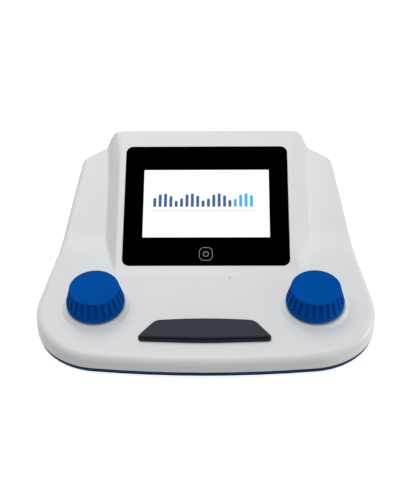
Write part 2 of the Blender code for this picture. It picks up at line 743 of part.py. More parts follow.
def upper_cover(console, dials, deck):
    cavity = case_solid("cavity", WALL, ROOF, SPLIT - OVERRUN)
    above = CASE_DEPTH
    for x, y in case_screw_places():
        cut(cavity, cylinder("post", POST_RADIUS, POST_BASE, above, place=(x, y, 0), sides=SMALL_SIDES))
    shelf_width = GLASS_WIDTH + 2 * (GAP + SHELF_MARGIN)
    shelf_length = GLASS_LENGTH + 2 * (GAP + SHELF_MARGIN)
    cut(cavity, block("shelf", shelf_width, shelf_length, LCD_BACK, OVERRUN, parent=console))
    for place in cradle_screw_places():
        low = CRADLE_TOP + GAP
        cut(cavity, cylinder("hanger", CRADLE_POST_RADIUS, low, OVERRUN, None, deck, place, SMALL_SIDES))
    cup = on_deck("cup", MIC_OFFSET, MIC_SETBACK)
    cup_radius = MIC_RADIUS + GAP + MIC_CUP_WALL
    cup_base = DECK_UNDER - GAP - MIC_HEIGHT
    cut(cavity, cylinder("cup_wall", cup_radius, cup_base, OVERRUN, parent=cup, sides=SMALL_SIDES))

    cover = case_solid("upper_cover", 0, 0, SPLIT + GAP, "cover_plastic")
    cut(cover, cavity)
    cut_screen_openings(cover, console)
    for dial in dials:
        foot_slope = (SEAT_FOOT_RADIUS - SEAT_TOP_RADIUS) / SEAT_HEIGHT
        sunk = WALL / 2
        profile = [
            (0, -SEAT_HEIGHT - sunk),
            (SEAT_FOOT_RADIUS + foot_slope * sunk, -SEAT_HEIGHT - sunk),
            (SEAT_TOP_RADIUS, 0),
            (0, 0),
        ]
        join(cover, turned("seat", profile, parent=dial))
        cut(cover, cylinder("bushing_hole", BUSHING_RADIUS + GAP, -CASE_DEPTH / 4, OVERRUN, parent=dial))
    well = key_outline().inset(KEY_WELL_INSET, KEY_WELL_CORNER).loop()
    cut(cover, prism("key_well", well, DECK_UNDER - OVERRUN, OVERRUN, parent=deck))
    pocket_base = DECK_UNDER - MIC_HEIGHT - OVERRUN
    cut(
        cover,
        cylinder("mic_pocket", MIC_RADIUS + GAP, pocket_base, DECK_UNDER, parent=cup),
        cylinder("mic_hole", MIC_HOLE_RADIUS, DECK_UNDER - GAP, OVERRUN, parent=cup, sides=SMALL_SIDES),
    )
    for place in cradle_screw_places():
        high = CRADLE_TOP + SMALL_REACH + 2 * GAP
        low = CRADLE_TOP - OVERRUN
        cut(cover, cylinder("pilot", SMALL_SHANK + GAP, low, high, None, deck, place, SMALL_SIDES))
    for x, y in case_screw_places():
        high = POST_BASE + CASE_SCREW_REACH + GAP
        low = POST_BASE - OVERRUN
        cut(cover, cylinder("pilot", CASE_SCREW_SHANK + GAP, low, high, None, None, (x, y, 0), SMALL_SIDES))
    window_width = PANEL_WIDTH - 2 * PANEL_LAP
    window_base = JACK_AXIS - WINDOW_HEIGHT / 2
    window_place = (0, BACK - WALL, window_base)
    cut(cover, block("rear_window", window_width, 2 * OVERRUN, 0, WINDOW_HEIGHT, place=window_place))
    return cover


def cut_screen_openings(cover, console):
    pocket = rounded_rectangle(GLASS_WIDTH + 2 * GAP, GLASS_LENGTH + 2 * GAP, GLASS_CORNER_RADIUS + GAP)
    middle = (0, LCD_RISE, 0)
    low = LCD_BACK - OVERRUN
    cut(
        cover,
        prism("pocket", pocket, SHELF_FRONT, OVERRUN, parent=console),
        block("lcd_window", LCD_WIDTH + 2 * GAP, LCD_LENGTH + 2 * GAP, low, OVERRUN, None, console, middle),
    )
    for x, y in display_screw_places():
        high = LCD_BACK + DISPLAY_SCREW_REACH + GAP
        cut(cover, cylinder("pilot", TINY_SHANK + GAP, low, high, None, console, (x, y, 0), SMALL_SIDES))


def base_tray():
    outline = case_outline()
    lean = math.tan(TRAY_UNDERCUT)
    lip_offset = -WALL - GAP
    rings = [
        level(outline.loop(-TRAY_EDGE_HEIGHT * lean), UNDERSIDE),
        level(outline.loop(), SPLIT),
        level(outline.loop(lip_offset), SPLIT),
        level(outline.loop(lip_offset), SPLIT + LIP_HEIGHT),
    ]
    tray = loft("base_tray", rings, "tray_plastic")
    cut(tray, prism("inside", outline.loop(lip_offset - LIP_WALL), FLOOR_TOP, SPLIT + OVERRUN))
    tube_radius = CASE_SCREW_HEAD_RADIUS + GAP + SCREW_TUBE_WALL
    sunk = FLOOR_TOP - FLOOR / 2
    for x, y in case_screw_places():
        place = (x, y, 0)
        join(tray, cylinder("tube", tube_radius, sunk, TUBE_TOP, place=place, sides=SMALL_SIDES))
        head = CASE_SCREW_HEAD_RADIUS + GAP
        cut(
            tray,
            cylinder("head_hole", head, UNDERSIDE - OVERRUN, HEAD_TOP + GAP, None, None, place, SMALL_SIDES),
            cylinder("shank_hole", CASE_SCREW_SHANK + GAP, 0, TUBE_TOP + OVERRUN, None, None, place, SMALL_SIDES),
        )
    for x, y in board_screw_places():
        place = (x, y, 0)
        high = BOARD_UNDER - GAP
        low = high - SMALL_REACH - GAP
        join(tray, cylinder("standoff", STANDOFF_RADIUS, sunk, high, place=place, sides=SMALL_SIDES))
        cut(tray, cylinder("pilot", SMALL_SHANK + GAP, low, high + OVERRUN, None, None, place, SMALL_SIDES))
    for x, y in foot_places().values():
        seat = UNDERSIDE + FOOT_SINK
        cut(tray, cylinder("foot_seat", FOOT_RADIUS + GAP, UNDERSIDE - OVERRUN, seat, place=(x, y, 0)))


def feet():
    for corner, (x, y) in foot_places().items():
        profile = [
            (0, 0),
            (FOOT_RADIUS - FOOT_ROUND, 0),
            (FOOT_RADIUS, FOOT_ROUND),
            (FOOT_RADIUS, UNDERSIDE + FOOT_SINK - GAP),
            (0, UNDERSIDE + FOOT_SINK - GAP),
        ]
        turned(f"foot_{corner}", profile, "foot_rubber", place=(x, y, 0))


def screw(name, head_radius, head_height, shank, reach, parent, place, turn=1):
    """A screw whose head rests under its place and whose shank rises by its reach, or turned over."""
    profile = [
        (0, -turn * head_height),
        (head_radius, -turn * head_height),
        (head_radius, 0),
        (shank, 0),
        (shank, turn * reach),
        (0, turn * reach),
    ]
    return turned(name, profile, "steel", parent, place, SMALL_SIDES)


def case_screws():
    reach = POST_BASE + CASE_SCREW_REACH - HEAD_TOP
    for index, (x, y) in enumerate(case_screw_places(), 1):
        screw(
            f"case_screw_{index}",
            CASE_SCREW_HEAD_RADIUS,
            CASE_SCREW_HEAD_HEIGHT,
            CASE_SCREW_SHANK,
            reach,
            None,
            (x, y, HEAD_TOP),
        )


# Screen


def display_screw_places():
    across = LCD_WIDTH / 2 + DISPLAY_SCREW_INSET
    along = LCD_LENGTH / 2 + DISPLAY_SCREW_INSET
    return [(side * across, LCD_RISE + end * along) for end in (-1, 1) for side in (-1, 1)]


def screen(console):
    glass = rounded_rectangle(GLASS_WIDTH, GLASS_LENGTH, GLASS_CORNER_RADIUS)
    prism("touch_glass", glass, GLASS_BACK, 0, "screen_glass", console)

    middle = (0, LCD_RISE, 0)
    margin = 2 * GASKET_MARGIN
    gasket_outline = rounded_rectangle(GLASS_WIDTH - margin, GLASS_LENGTH - margin, GLASS_CORNER_RADIUS)
    gasket = prism("glass_gasket", gasket_outline, GASKET_BACK, GASKET_FRONT, "foam", console)
    clear = 4 * GAP
    low = GASKET_BACK - OVERRUN
    cut(gasket, block("gasket_window", LCD_WIDTH + clear, LCD_LENGTH + clear, low, 0, None, console, middle))

    lcd = block("lcd_module", LCD_WIDTH, LCD_LENGTH, LCD_BACK, LCD_FRONT, "lcd", console, middle)
    socket_low = LCD_BACK - RIBBON_SOCKET_HEIGHT
    socket_high = LCD_BACK + LCD_THICKNESS / 2
    socket_place = (0, LCD_RISE - RIBBON_DROP, 0)
    size = (RIBBON_SOCKET_WIDTH, RIBBON_SOCKET_LENGTH)
    join(lcd, block("ribbon_socket", *size, socket_low, socket_high, None, console, socket_place))

    lap = 2 * BRACKET_LAP
    width, length = LCD_WIDTH + lap, LCD_LENGTH + lap
    bracket = block("display_bracket", width, length, BRACKET_BACK, BRACKET_FRONT, "steel", console, middle)
    rail = 2 * BRACKET_RAIL
    low = BRACKET_BACK - OVERRUN
    cut(bracket, block("opening", LCD_WIDTH - rail, LCD_LENGTH - rail, low, 0, None, console, middle))
    reach = LCD_BACK + DISPLAY_SCREW_REACH - BRACKET_BACK + GAP
    for index, (x, y) in enumerate(display_screw_places(), 1):
        hole = TINY_SHANK + GAP
        cut(bracket, cylinder("hole", hole, low, 0, None, console, (x, y, 0), SMALL_SIDES))
        screw(
            f"display_screw_{index}",
            TINY_HEAD_RADIUS,
            TINY_HEAD_HEIGHT,
            TINY_SHANK,
            reach,
            console,
            (x, y, BRACKET_BACK - GAP),
        )
    display_ribbon(console)


def display_ribbon(console):
    """A flat cable on a smooth curve from the screen's back down to the main board's header."""
    bpy.context.view_layer.update()
    inward = -(console.matrix_world.to_3x3() @ Vector((0, 0, 1)))
    socket = Vector((0, LCD_RISE - RIBBON_DROP, LCD_BACK - RIBBON_SOCKET_HEIGHT - GAP))
    start = console.matrix_world @ socket
    end = Vector((0, ribbon_header_place(), BOARD_TOP + HEADER_HEIGHT + GAP))
    handles = (start, start + inward * RIBBON_HANDLE, end + Vector((0, 0, RIBBON_HANDLE)), end)
    rings = []
    for step in range(CURVE_STEPS + 1):
        share = step / CURVE_STEPS
        rest = 1 - share
        weights = (rest**3, 3 * rest**2 * share, 3 * rest * share**2, share**3)
        slopes = (-(rest**2), rest**2 - 2 * rest * share, 2 * rest * share - share**2, share**2)
        middle = sum((handle * weight for handle, weight in zip(handles, weights)), Vector())
        heading = sum((handle * slope for handle, slope in zip(handles, slopes)), Vector())
        face = heading.cross(Vector((1, 0, 0))).normalized() * RIBBON_THICKNESS / 2
        edge = Vector((RIBBON_WIDTH / 2, 0, 0))
        rings.append([middle - edge - face, middle + edge - face, middle + edge + face, middle - edge + face])
    loft("display_ribbon", rings, "ribbon")


def ribbon_header_place():
    return BOARD_REAR - BOARD_LENGTH / 2 - RIBBON_DROP / 2


# Dials


def knob_ring(radius, height, depth):
    """A ring of the knob's side, grooved to a depth."""
    points = []
    pitch = math.tau / FLUTES
    for flute in range(FLUTES):
        for turn_share, sunk in ((0, 0), (1 - FLUTE_SHARE, 0), (1 - FLUTE_SHARE / 2, depth)):
            angle = pitch * (flute + turn_share)
            reach = radius - sunk
            points.append((reach * math.cos(angle), reach * math.sin(angle), height))
    return points


def knob(name, dial):
    base = KNOB_LIFT
    top = base + KNOB_HEIGHT
    band = base + KNOB_BAND_HEIGHT
    edge = top - KNOB_EDGE_ROUND
    half_round = KNOB_EDGE_ROUND * (1 - math.sqrt(1 / 2))
    lean = (KNOB_BASE_RADIUS - KNOB_TOP_RADIUS) / (KNOB_HEIGHT - KNOB_BAND_HEIGHT)
    rings = [
        knob_ring(KNOB_BASE_RADIUS - KNOB_FOOT_TUCK, base, 0),
        knob_ring(KNOB_BASE_RADIUS, base + KNOB_FOOT_HEIGHT, 0),
        knob_ring(KNOB_BASE_RADIUS, band, 0),
        knob_ring(KNOB_BASE_RADIUS - lean * FLUTE_DEPTH, band + FLUTE_DEPTH, FLUTE_DEPTH),
        knob_ring(KNOB_TOP_RADIUS, edge - FLUTE_DEPTH / 2, FLUTE_DEPTH),
        knob_ring(KNOB_TOP_RADIUS - half_round, top - half_round, 0),
        knob_ring(KNOB_TOP_RADIUS - KNOB_EDGE_ROUND, top, 0),
        knob_ring(KNOB_TOP_RADIUS - KNOB_RIM - KNOB_EDGE_ROUND, top, 0),
        knob_ring(HUB_RADIUS, top - KNOB_DISH, 0),
    ]
    body = loft(name, rings, "knob_plastic", dial)
    cup_top = top - KNOB_TOP_THICKNESS
    cup = [
        (0, base - OVERRUN),
        (KNOB_BASE_RADIUS - KNOB_WALL, base - OVERRUN),
        (KNOB_BASE_RADIUS - KNOB_WALL, band),
        (KNOB_TOP_RADIUS - KNOB_WALL, cup_top),
        (HUB_RADIUS, cup_top),
        (HUB_RADIUS, HUB_START),
        (0, HUB_START),
    ]
    cut(
        body,
        turned("cup", cup, parent=dial),
        cylinder("bore", SHAFT_RADIUS + GAP, HUB_START - OVERRUN, SHAFT_RISE + GAP, parent=dial),
    )


def encoder(side, dial):
    """The encoder under a dial's seat: its body with a threaded bushing, shaft, nut and board."""
    body_width = ENCODER_WIDTH
    body = block(
        f"{side}_encoder_body", body_width, body_width, ENCODER_BASE, ENCODER_TOP, "socket_plastic", dial
    )
    join(body, cylinder("bushing", BUSHING_RADIUS, ENCODER_TOP - ENCODER_WALL / 2, BUSHING_RISE, parent=dial))
    rotor_radius = ENCODER_WIDTH / 2 - ENCODER_WALL
    rotor_top = ENCODER_TOP - ENCODER_WALL
    cut(
        body,
        cylinder("shaft_bore", SHAFT_RADIUS + GAP, ENCODER_BASE - OVERRUN, BUSHING_RISE + OVERRUN, parent=dial),
        cylinder("rotor_room", rotor_radius, ENCODER_BASE - OVERRUN, rotor_top, parent=dial),
    )
    shaft_profile = [
        (0, rotor_top - GAP - ROTOR_HEIGHT),
        (rotor_radius - GAP, rotor_top - GAP - ROTOR_HEIGHT),
        (rotor_radius - GAP, rotor_top - GAP),
        (SHAFT_RADIUS, rotor_top - GAP),
        (SHAFT_RADIUS, SHAFT_RISE),
        (0, SHAFT_RISE),
    ]
    turned(f"{side}_encoder_shaft", shaft_profile, "steel", dial)
    nut = prism(f"{side}_bush_nut", circle(NUT_RADIUS, 6), GAP, GAP + NUT_HEIGHT, "steel", dial)
    cut(nut, cylinder("thread", BUSHING_RADIUS + GAP, -OVERRUN, OVERRUN, parent=dial))
    board_top = ENCODER_BASE - GAP
    size = (DIAL_BOARD_WIDTH, DIAL_BOARD_LENGTH)
    block(f"{side}_encoder_board", *size, board_top - BOARD_THICKNESS, board_top, "board", dial)


# Tone key


def tone_key(deck):
    """The dark bar, hinged under its rear edge. Its parent empty lies on the hinge axis."""
    hinge = datum("key_hinge", (0, 0, 0), 0)
    hinge.parent = deck
    hinge.location = (0, HINGE_PLACE, -HINGE_DEPTH)
    back = (0, -HINGE_PLACE, HINGE_DEPTH)
    outline = key_outline()
    half_round = KEY_TOP_ROUND / 2
    rings = [
        level(outline.loop(), KEY_UNDER),
        level(outline.loop(), KEY_TOP - KEY_TOP_ROUND),
        level(outline.loop(-KEY_TOP_ROUND + half_round * math.sqrt(3) / 2), KEY_TOP - half_round / 2),
        level(outline.loop(-KEY_TOP_ROUND), KEY_TOP),
    ]
    key = loft("tone_key", rings, "key_plastic", hinge, back)
    sunk = KEY_UNDER + KEY_PLATE / 2
    for side in (-1, 1):
        place = (side * HINGE_SPREAD / 2, 0, 0)
        join(key, hinge_arm(sunk + HINGE_DEPTH, hinge, place))
        bore = HINGE_ARM_WIDTH
        cut(key, crossbar("bore", HINGE_PIN_RADIUS + GAP, -bore, bore, None, hinge, place))
    plunger = (0, HINGE_PLACE - SWITCH_LEAD, 0)
    low = SWITCH_TOP + SWITCH_FREE_GAP
    join(key, cylinder("plunger", PLUNGER_RADIUS, low, sunk, None, deck, plunger, SMALL_SIDES))


def hinge_arm(height, hinge, place):
    """A fin that stands on the hinge axis, rounded under it, and rises to a height."""
    lower = [(x, y) for x, y in circle(HINGE_EYE_RADIUS, ROUND_SIDES) if x > 0]
    lower.sort(key=lambda point: point[1])
    upper = [(-height, HINGE_EYE_RADIUS), (-height, -HINGE_EYE_RADIUS)]
    arm = prism("arm", lower + upper, -HINGE_ARM_WIDTH / 2, HINGE_ARM_WIDTH / 2, None, hinge, place)
    arm.data.transform(Matrix.Rotation(math.pi / 2, 4, "Y"))
    return arm


def key_surround(deck):
    outline = key_outline()
    rings = [
        level(outline.loop(SURROUND_STEP), GAP),
        level(outline.loop(SURROUND_STEP), SURROUND_TOP - SURROUND_ROUND),
        level(outline.loop(SURROUND_STEP - SURROUND_ROUND), SURROUND_TOP),
    ]
    frame = loft("key_surround", rings, "surround_plastic", deck)
    well = outline.inset(KEY_WELL_INSET, KEY_WELL_CORNER).loop()
    cut(frame, prism("well", well, -OVERRUN, 2 * OVERRUN, parent=deck))


def key_cradle(deck):
    """The plate under the deck that carries the key's pins, springs and switch."""
    length = HINGE_PLACE + CRADLE_FRONT_MARGIN + CRADLE_BACK_MARGIN
    middle = (0, HINGE_PLACE + CRADLE_BACK_MARGIN - length / 2, 0)
    low = CRADLE_TOP - CRADLE_SHEET
    cradle = block("key_cradle", CRADLE_WIDTH, length, low, CRADLE_TOP, "steel", deck, middle)
    lug_top = -HINGE_DEPTH + HINGE_PIN_RADIUS + GAP + CRADLE_SHEET
    lug_offset = HINGE_ARM_WIDTH / 2 + GAP + LUG_WIDTH / 2
    pin_half = lug_offset + LUG_WIDTH / 2 + PIN_OVERHANG
    for side, word in ((-1, "left"), (1, "right")):
        x = side * HINGE_SPREAD / 2
        for lean in (-lug_offset, lug_offset):
            place = (x + lean, HINGE_PLACE, 0)
            size = (LUG_WIDTH, 2 * HINGE_EYE_RADIUS)
            join(cradle, block("lug", *size, CRADLE_TOP - CRADLE_SHEET / 2, lug_top, None, deck, place))
        place = (x, HINGE_PLACE, -HINGE_DEPTH)
        hole = HINGE_PIN_RADIUS + GAP
        cut(cradle, crossbar("pin_hole", hole, -HINGE_SPREAD / 4, HINGE_SPREAD / 4, None, deck, place))
        crossbar(f"key_pin_{word}", HINGE_PIN_RADIUS, -pin_half, pin_half, "steel", deck, place)
        x, row, _ = cradle_screw_places()[side > 0]
        hole = SMALL_SHANK + GAP
        cut(cradle, cylinder("hole", hole, low - OVERRUN, 0, None, deck, (x, row, 0), SMALL_SIDES))
        screw(
            f"cradle_screw_{word}",
            SMALL_HEAD_RADIUS,
            SMALL_HEAD_HEIGHT,
            SMALL_SHANK,
            SMALL_REACH + CRADLE_SHEET + GAP,
            deck,
            (x, row, low - GAP),
        )
        key_spring(f"key_spring_{word}", deck, (side * SPRING_SPREAD / 2, row, 0))


def key_spring(name, deck, place):
    """A coil between the cradle and the key's underside, as one tube wound round its axis."""
    low = CRADLE_TOP + GAP + SPRING_WIRE
    high = KEY_UNDER - GAP - SPRING_WIRE
    rings = []
    steps = SPRING_TURNS * COIL_STEPS
    for step in range(steps + 1):
        turn = math.tau * step / COIL_STEPS
        out = Vector((math.cos(turn), math.sin(turn), 0))
        centre = out * SPRING_RADIUS + Vector((0, 0, low + (high - low) * step / steps))
        up = Vector((0, 0, 1))
        ring = [centre + out * x + up * y for x, y in circle(SPRING_WIRE, SPRING_SIDES)]
        rings.append(ring)
    loft(name, rings, "steel", deck, place)


def key_switch(deck):
    row = HINGE_PLACE - SWITCH_LEAD
    place = (0, row, 0)
    board_low = CRADLE_TOP + GAP
    board_high = board_low + BOARD_THICKNESS
    block("key_board", KEY_BOARD_WIDTH, KEY_BOARD_LENGTH, board_low, board_high, "board", deck, place)
    low = board_high + GAP
    high = low + SWITCH_HEIGHT
    switch = block("key_switch", SWITCH_WIDTH, SWITCH_WIDTH, low, high, "socket_plastic", deck, place)
    sunk = high - SWITCH_CAP_HEIGHT
    cap = (SWITCH_CAP_RADIUS, sunk, SWITCH_TOP)
    join(switch, cylinder("cap", *cap, parent=deck, place=place, sides=SMALL_SIDES))


def microphone():
    cup = on_deck("microphone_place", MIC_OFFSET, MIC_SETBACK)
    top = DECK_UNDER - GAP
    cylinder("microphone", MIC_RADIUS, top - MIC_HEIGHT, top, "steel", cup)


# Main board and rear connectors


def main_board():
    middle = (0, board_middle(), 0)
    size = (BOARD_WIDTH, BOARD_LENGTH)
    board = block("main_board", *size, BOARD_UNDER, BOARD_TOP, "board", place=middle)
    sunk = BOARD_TOP - BOARD_THICKNESS / 2
    front = board_middle() - BOARD_LENGTH / 2 + BOARD_FRONT_MARGIN
    shield_y = front + SHIELD_LENGTH / 2
    header_y = ribbon_header_place()
    for name, x, y, width, length, height in (
        ("shield", -CHIP_OFFSET, shield_y, SHIELD_WIDTH, SHIELD_LENGTH, SHIELD_HEIGHT),
        ("chip", CHIP_OFFSET, shield_y, CHIP_SIZE, CHIP_SIZE, CHIP_HEIGHT),
        ("header", 0, header_y, RIBBON_SOCKET_WIDTH, RIBBON_SOCKET_LENGTH, HEADER_HEIGHT),
    ):
        join(board, block(name, width, length, sunk, BOARD_TOP + height, place=(x, y, 0)))
    for index, (x, y) in enumerate(board_screw_places(), 1):
        hole = SMALL_SHANK + GAP
        high = BOARD_TOP + OVERRUN
        cut(board, cylinder("hole", hole, BOARD_UNDER - OVERRUN, high, None, None, (x, y, 0), SMALL_SIDES))
        reach = SMALL_REACH + BOARD_THICKNESS
        screw(
            f"board_screw_{index}",
            SMALL_HEAD_RADIUS,
            SMALL_HEAD_HEIGHT,
            SMALL_SHANK,
            reach,
            None,
            (x, y, BOARD_TOP + GAP),
            -1,
        )


def facing_back(name, height):
    """A datum on the panel's outer face whose Z points out of the back and Y down."""
    return datum(name, (0, PANEL_FACE, height), -math.pi / 2)


def socket_places():
    """Every socket's place across the panel, in one row with equal gaps."""
    row = [
        ("phones_socket_right", JACK_WIDTH),
        ("phones_socket_left", JACK_WIDTH),
        ("bone_socket", JACK_WIDTH),
        ("response_socket", JACK_WIDTH),
        ("headset_socket", JACK_WIDTH),
        ("usb_socket", USB_WIDTH),
        ("power_inlet", INLET_WIDTH),
    ]
    room = PANEL_WIDTH - 2 * PANEL_LAP
    between = (room - sum(width for _, width in row)) / (len(row) + 1)
    places = {}
    left = -room / 2
    for name, width in row:
        places[name] = left + between + width / 2
        left += between + width
    return places


def jack_places():
    last_two = ("usb_socket", "power_inlet")
    return [(name, x) for name, x in socket_places().items() if name not in last_two]


def rear_panel(rear):
    place = (0, PANEL_BACK + PANEL_THICKNESS / 2, 0)
    low = FLOOR_TOP + GAP
    size = (PANEL_WIDTH, PANEL_THICKNESS)
    panel = block("rear_panel", *size, low, low + PANEL_HEIGHT, "panel_plastic", place=place)
    for _, x in jack_places():
        cut(panel, cylinder("jack_hole", JACK_COLLAR + GAP, -OVERRUN, OVERRUN, None, rear, (x, 0, 0)))
    for name, width, height in (
        ("usb_socket", USB_WIDTH, USB_HEIGHT),
        ("power_inlet", INLET_WIDTH, INLET_HEIGHT),
    ):
        place = (socket_places()[name], JACK_HEIGHT / 2 - height / 2, 0)
        size = (width + 2 * GAP, height + 2 * GAP)
        cut(panel, block("socket_hole", *size, -OVERRUN, OVERRUN, None, rear, place))


def sockets(rear):
    """The sockets, each with its mouth level with the panel's outer face."""
    for name, x in jack_places():
        place = (x, 0, 0)
        low = -PANEL_THICKNESS - GAP
        deep = low - JACK_LENGTH
        socket = block(name, JACK_WIDTH, JACK_HEIGHT, deep, low, "socket_plastic", rear, place)
        join(socket, cylinder("collar", JACK_COLLAR, low - OVERRUN, 0, None, rear, place))
        cut(socket, cylinder("bore", JACK_BORE, -JACK_BORE_DEPTH, OVERRUN, None, rear, place))
    place = (socket_places()["usb_socket"], JACK_HEIGHT / 2 - USB_HEIGHT / 2, 0)
    usb = block("usb_socket", USB_WIDTH, USB_HEIGHT, -USB_LENGTH, 0, "steel", rear, place)
    shell = 2 * USB_SHELL
    back = USB_SHELL - USB_LENGTH
    cut(usb, block("usb_room", USB_WIDTH - shell, USB_HEIGHT - shell, back, OVERRUN, None, rear, place))
    tongue_root = -USB_LENGTH + USB_SHELL / 2
    tongue_size = (USB_TONGUE_WIDTH, USB_TONGUE_HEIGHT)
    join(usb, block("tongue", *tongue_size, tongue_root, -USB_TONGUE_SINK, None, rear, place))
    place = (socket_places()["power_inlet"], JACK_HEIGHT / 2 - INLET_HEIGHT / 2, 0)
    inlet = block("power_inlet", INLET_WIDTH, INLET_HEIGHT, -INLET_LENGTH, 0, "socket_plastic", rear, place)
    cut(inlet, cylinder("bore", INLET_BORE, -INLET_BORE_DEPTH, OVERRUN, None, rear, place))
    pin_root = -INLET_BORE_DEPTH - INLET_PIN
    join(inlet, cylinder("pin", INLET_PIN, pin_root, -INLET_PIN_SINK, None, rear, place, SMALL_SIDES))


def smooth_round_faces():
    for thing in bpy.data.objects:
        if thing.type == "MESH":
            thing.data.shade_smooth()
            thing.data.set_sharp_from_angle(angle=math.radians(30))


def build():
    clear_scene()
    glass_middle = (GLASS_FOOT_MARGIN + GLASS_LENGTH / 2) * math.cos(CONSOLE_TILT)
    console_y = FRONT + CONSOLE_SETBACK + glass_middle
    console = datum("console", (0, console_y, console_height(console_y)), CONSOLE_TILT)
    deck = on_deck("key_place", 0, KEY_SETBACK)
    dials = []
    for side, x in (("left", -DIAL_SPACING / 2), ("right", DIAL_SPACING / 2)):
        seat = on_deck(f"{side}_seat", x, DIAL_SETBACK)
        dial = datum(f"{side}_dial", (0, 0, SEAT_HEIGHT), 0)
        dial.parent = seat
        dials.append(dial)
        knob(f"{side}_knob", dial)
        encoder(side, dial)
    upper_cover(console, dials, deck)
    base_tray()
    feet()
    case_screws()
    screen(console)
    tone_key(deck)
    key_surround(deck)
    key_cradle(deck)
    key_switch(deck)
    microphone()
    main_board()
    rear = facing_back("rear", JACK_AXIS)
    rear_panel(rear)
    sockets(rear)
    smooth_round_faces()


build()
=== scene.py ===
"""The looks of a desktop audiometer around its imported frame.

Lengths are in metres, with +X to the user's right, +Y to the back and +Z up.
"""

import contextlib
import json
import math

import bmesh
import bpy
from mathutils import Matrix, Vector


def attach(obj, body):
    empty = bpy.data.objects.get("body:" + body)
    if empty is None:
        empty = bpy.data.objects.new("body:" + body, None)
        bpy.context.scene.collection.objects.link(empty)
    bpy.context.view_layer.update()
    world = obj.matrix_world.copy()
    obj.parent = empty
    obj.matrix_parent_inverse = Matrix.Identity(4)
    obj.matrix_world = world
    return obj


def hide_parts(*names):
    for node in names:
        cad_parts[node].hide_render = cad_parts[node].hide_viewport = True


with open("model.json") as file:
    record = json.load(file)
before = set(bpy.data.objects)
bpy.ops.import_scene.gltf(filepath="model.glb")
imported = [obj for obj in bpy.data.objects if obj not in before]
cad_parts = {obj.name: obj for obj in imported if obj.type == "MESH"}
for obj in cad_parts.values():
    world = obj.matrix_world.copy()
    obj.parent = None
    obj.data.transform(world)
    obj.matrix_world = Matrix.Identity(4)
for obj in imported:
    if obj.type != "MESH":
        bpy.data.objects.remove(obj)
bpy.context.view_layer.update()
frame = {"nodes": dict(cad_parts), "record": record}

MM = 0.001
BLACK = (0, 0, 0, 1)
WHITE = (1, 1, 1, 1)

# Case
CASE_WIDTH = 272.8 * MM
CASE_DEPTH = 219.2 * MM
FRONT_BOW_SHARE = 0.99
FRONT_SWEEP = math.radians(6.35)
FRONT_CORNER_RADIUS = 56.4 * MM
FRONT_TAPER = math.radians(8.85)
REAR_TAPER = math.radians(11.9)
SIDE_BOW_SHARE = 0.882
REAR_CORNER_RADIUS = 9 * MM
SHOULDER_INSET = 48.8 * MM
SHOULDER_RADIUS = 12 * MM
SHOULDER_SWEEP = math.radians(27)
UNDERSIDE = 2 * MM
SPLIT = 6.3 * MM
TRAY_UNDERCUT = math.radians(14)
DECK_FRONT_HEIGHT = 15.9 * MM
DECK_TILT = math.radians(5.3)
CONSOLE_SETBACK = 99.1 * MM
CONSOLE_TILT = math.radians(29)
CONSOLE_WIDTH = 152 * MM
WING_DROP = 16.3 * MM
FLANK_SPREAD = math.tan(math.radians(32.3))
FLANK_SWELL = 1.3
FLANK_SPLAY = 0.26
FLANK_SWELL_REACH = 38 * MM
RIM_RADIUS = 6.2 * MM
REAR_RIM_RADIUS = 3 * MM
CONSOLE_EDGE_BLEND = 2.2 * MM
WING_FOOT_BLEND = 6 * MM
CONSOLE_FOOT_BLEND = 2.8 * MM
WALL = 2.5 * MM
FLOOR = 2.5 * MM
GAP = 0.3 * MM
OVERRUN = 5 * MM
FRONT = -CASE_DEPTH / 2
BACK = CASE_DEPTH / 2
ROOF = WALL / math.cos(CONSOLE_TILT)
DECK_UNDER = -ROOF * math.cos(DECK_TILT)

# Screen
GLASS_WIDTH = 140.2 * MM
GLASS_LENGTH = 113.5 * MM
GLASS_THICKNESS = 1.8 * MM
GLASS_CORNER = 6 * MM
GLASS_EDGE = 0.35 * MM
GLASS_FOOT_MARGIN = 5.7 * MM
SHELF_FRONT = -2.9 * MM
LCD_WIDTH = 120.7 * MM
LCD_LENGTH = 75.8 * MM
LCD_BACK = -5.3 * MM
LCD_RISE = 1.4 * MM
SHELF_MARGIN = 2.3 * MM
LIT_WIDTH = 107.7 * MM
LIT_LENGTH = 64.4 * MM
LIT_CORNER = 0.4 * MM
PRINT_DEPTH = 0.04 * MM

# Level graphic
BAR_COUNT = 19
BAR_WIDTH = 2.6 * MM
BAR_CORNER = 1.1 * MM
BAR_PITCH = 4.6 * MM
BAR_START = -45.5 * MM
BAR_BREAK = 22 * MM
BAR_FOOT = -3.6 * MM
BAR_LEAST_HEIGHT = 4.5 * MM
BAR_SWING = 8.5 * MM
BAR_TURN = 0.62
BAR_FIRST_TURN = 0.5
DOT_SIZE = 1 * MM
DOT_CORNER = 0.45 * MM
DOT_DROP = 3.4 * MM

# Power mark
MARK_WIDTH = 11.2 * MM
MARK_HEIGHT = 12.1 * MM
MARK_CORNER = 4.1 * MM
MARK_STROKE = 0.42 * MM
MARK_COLUMN = -0.1 * MM
MARK_ROW = -46.1 * MM
MARK_RING_RADIUS = 2.5 * MM
MARK_RING_STROKE = 0.5 * MM
MARK_RING_MOUTH = 1.9 * MM
MARK_UPRIGHT_LENGTH = 2.2 * MM
MARK_UPRIGHT_RISE = 1.7 * MM

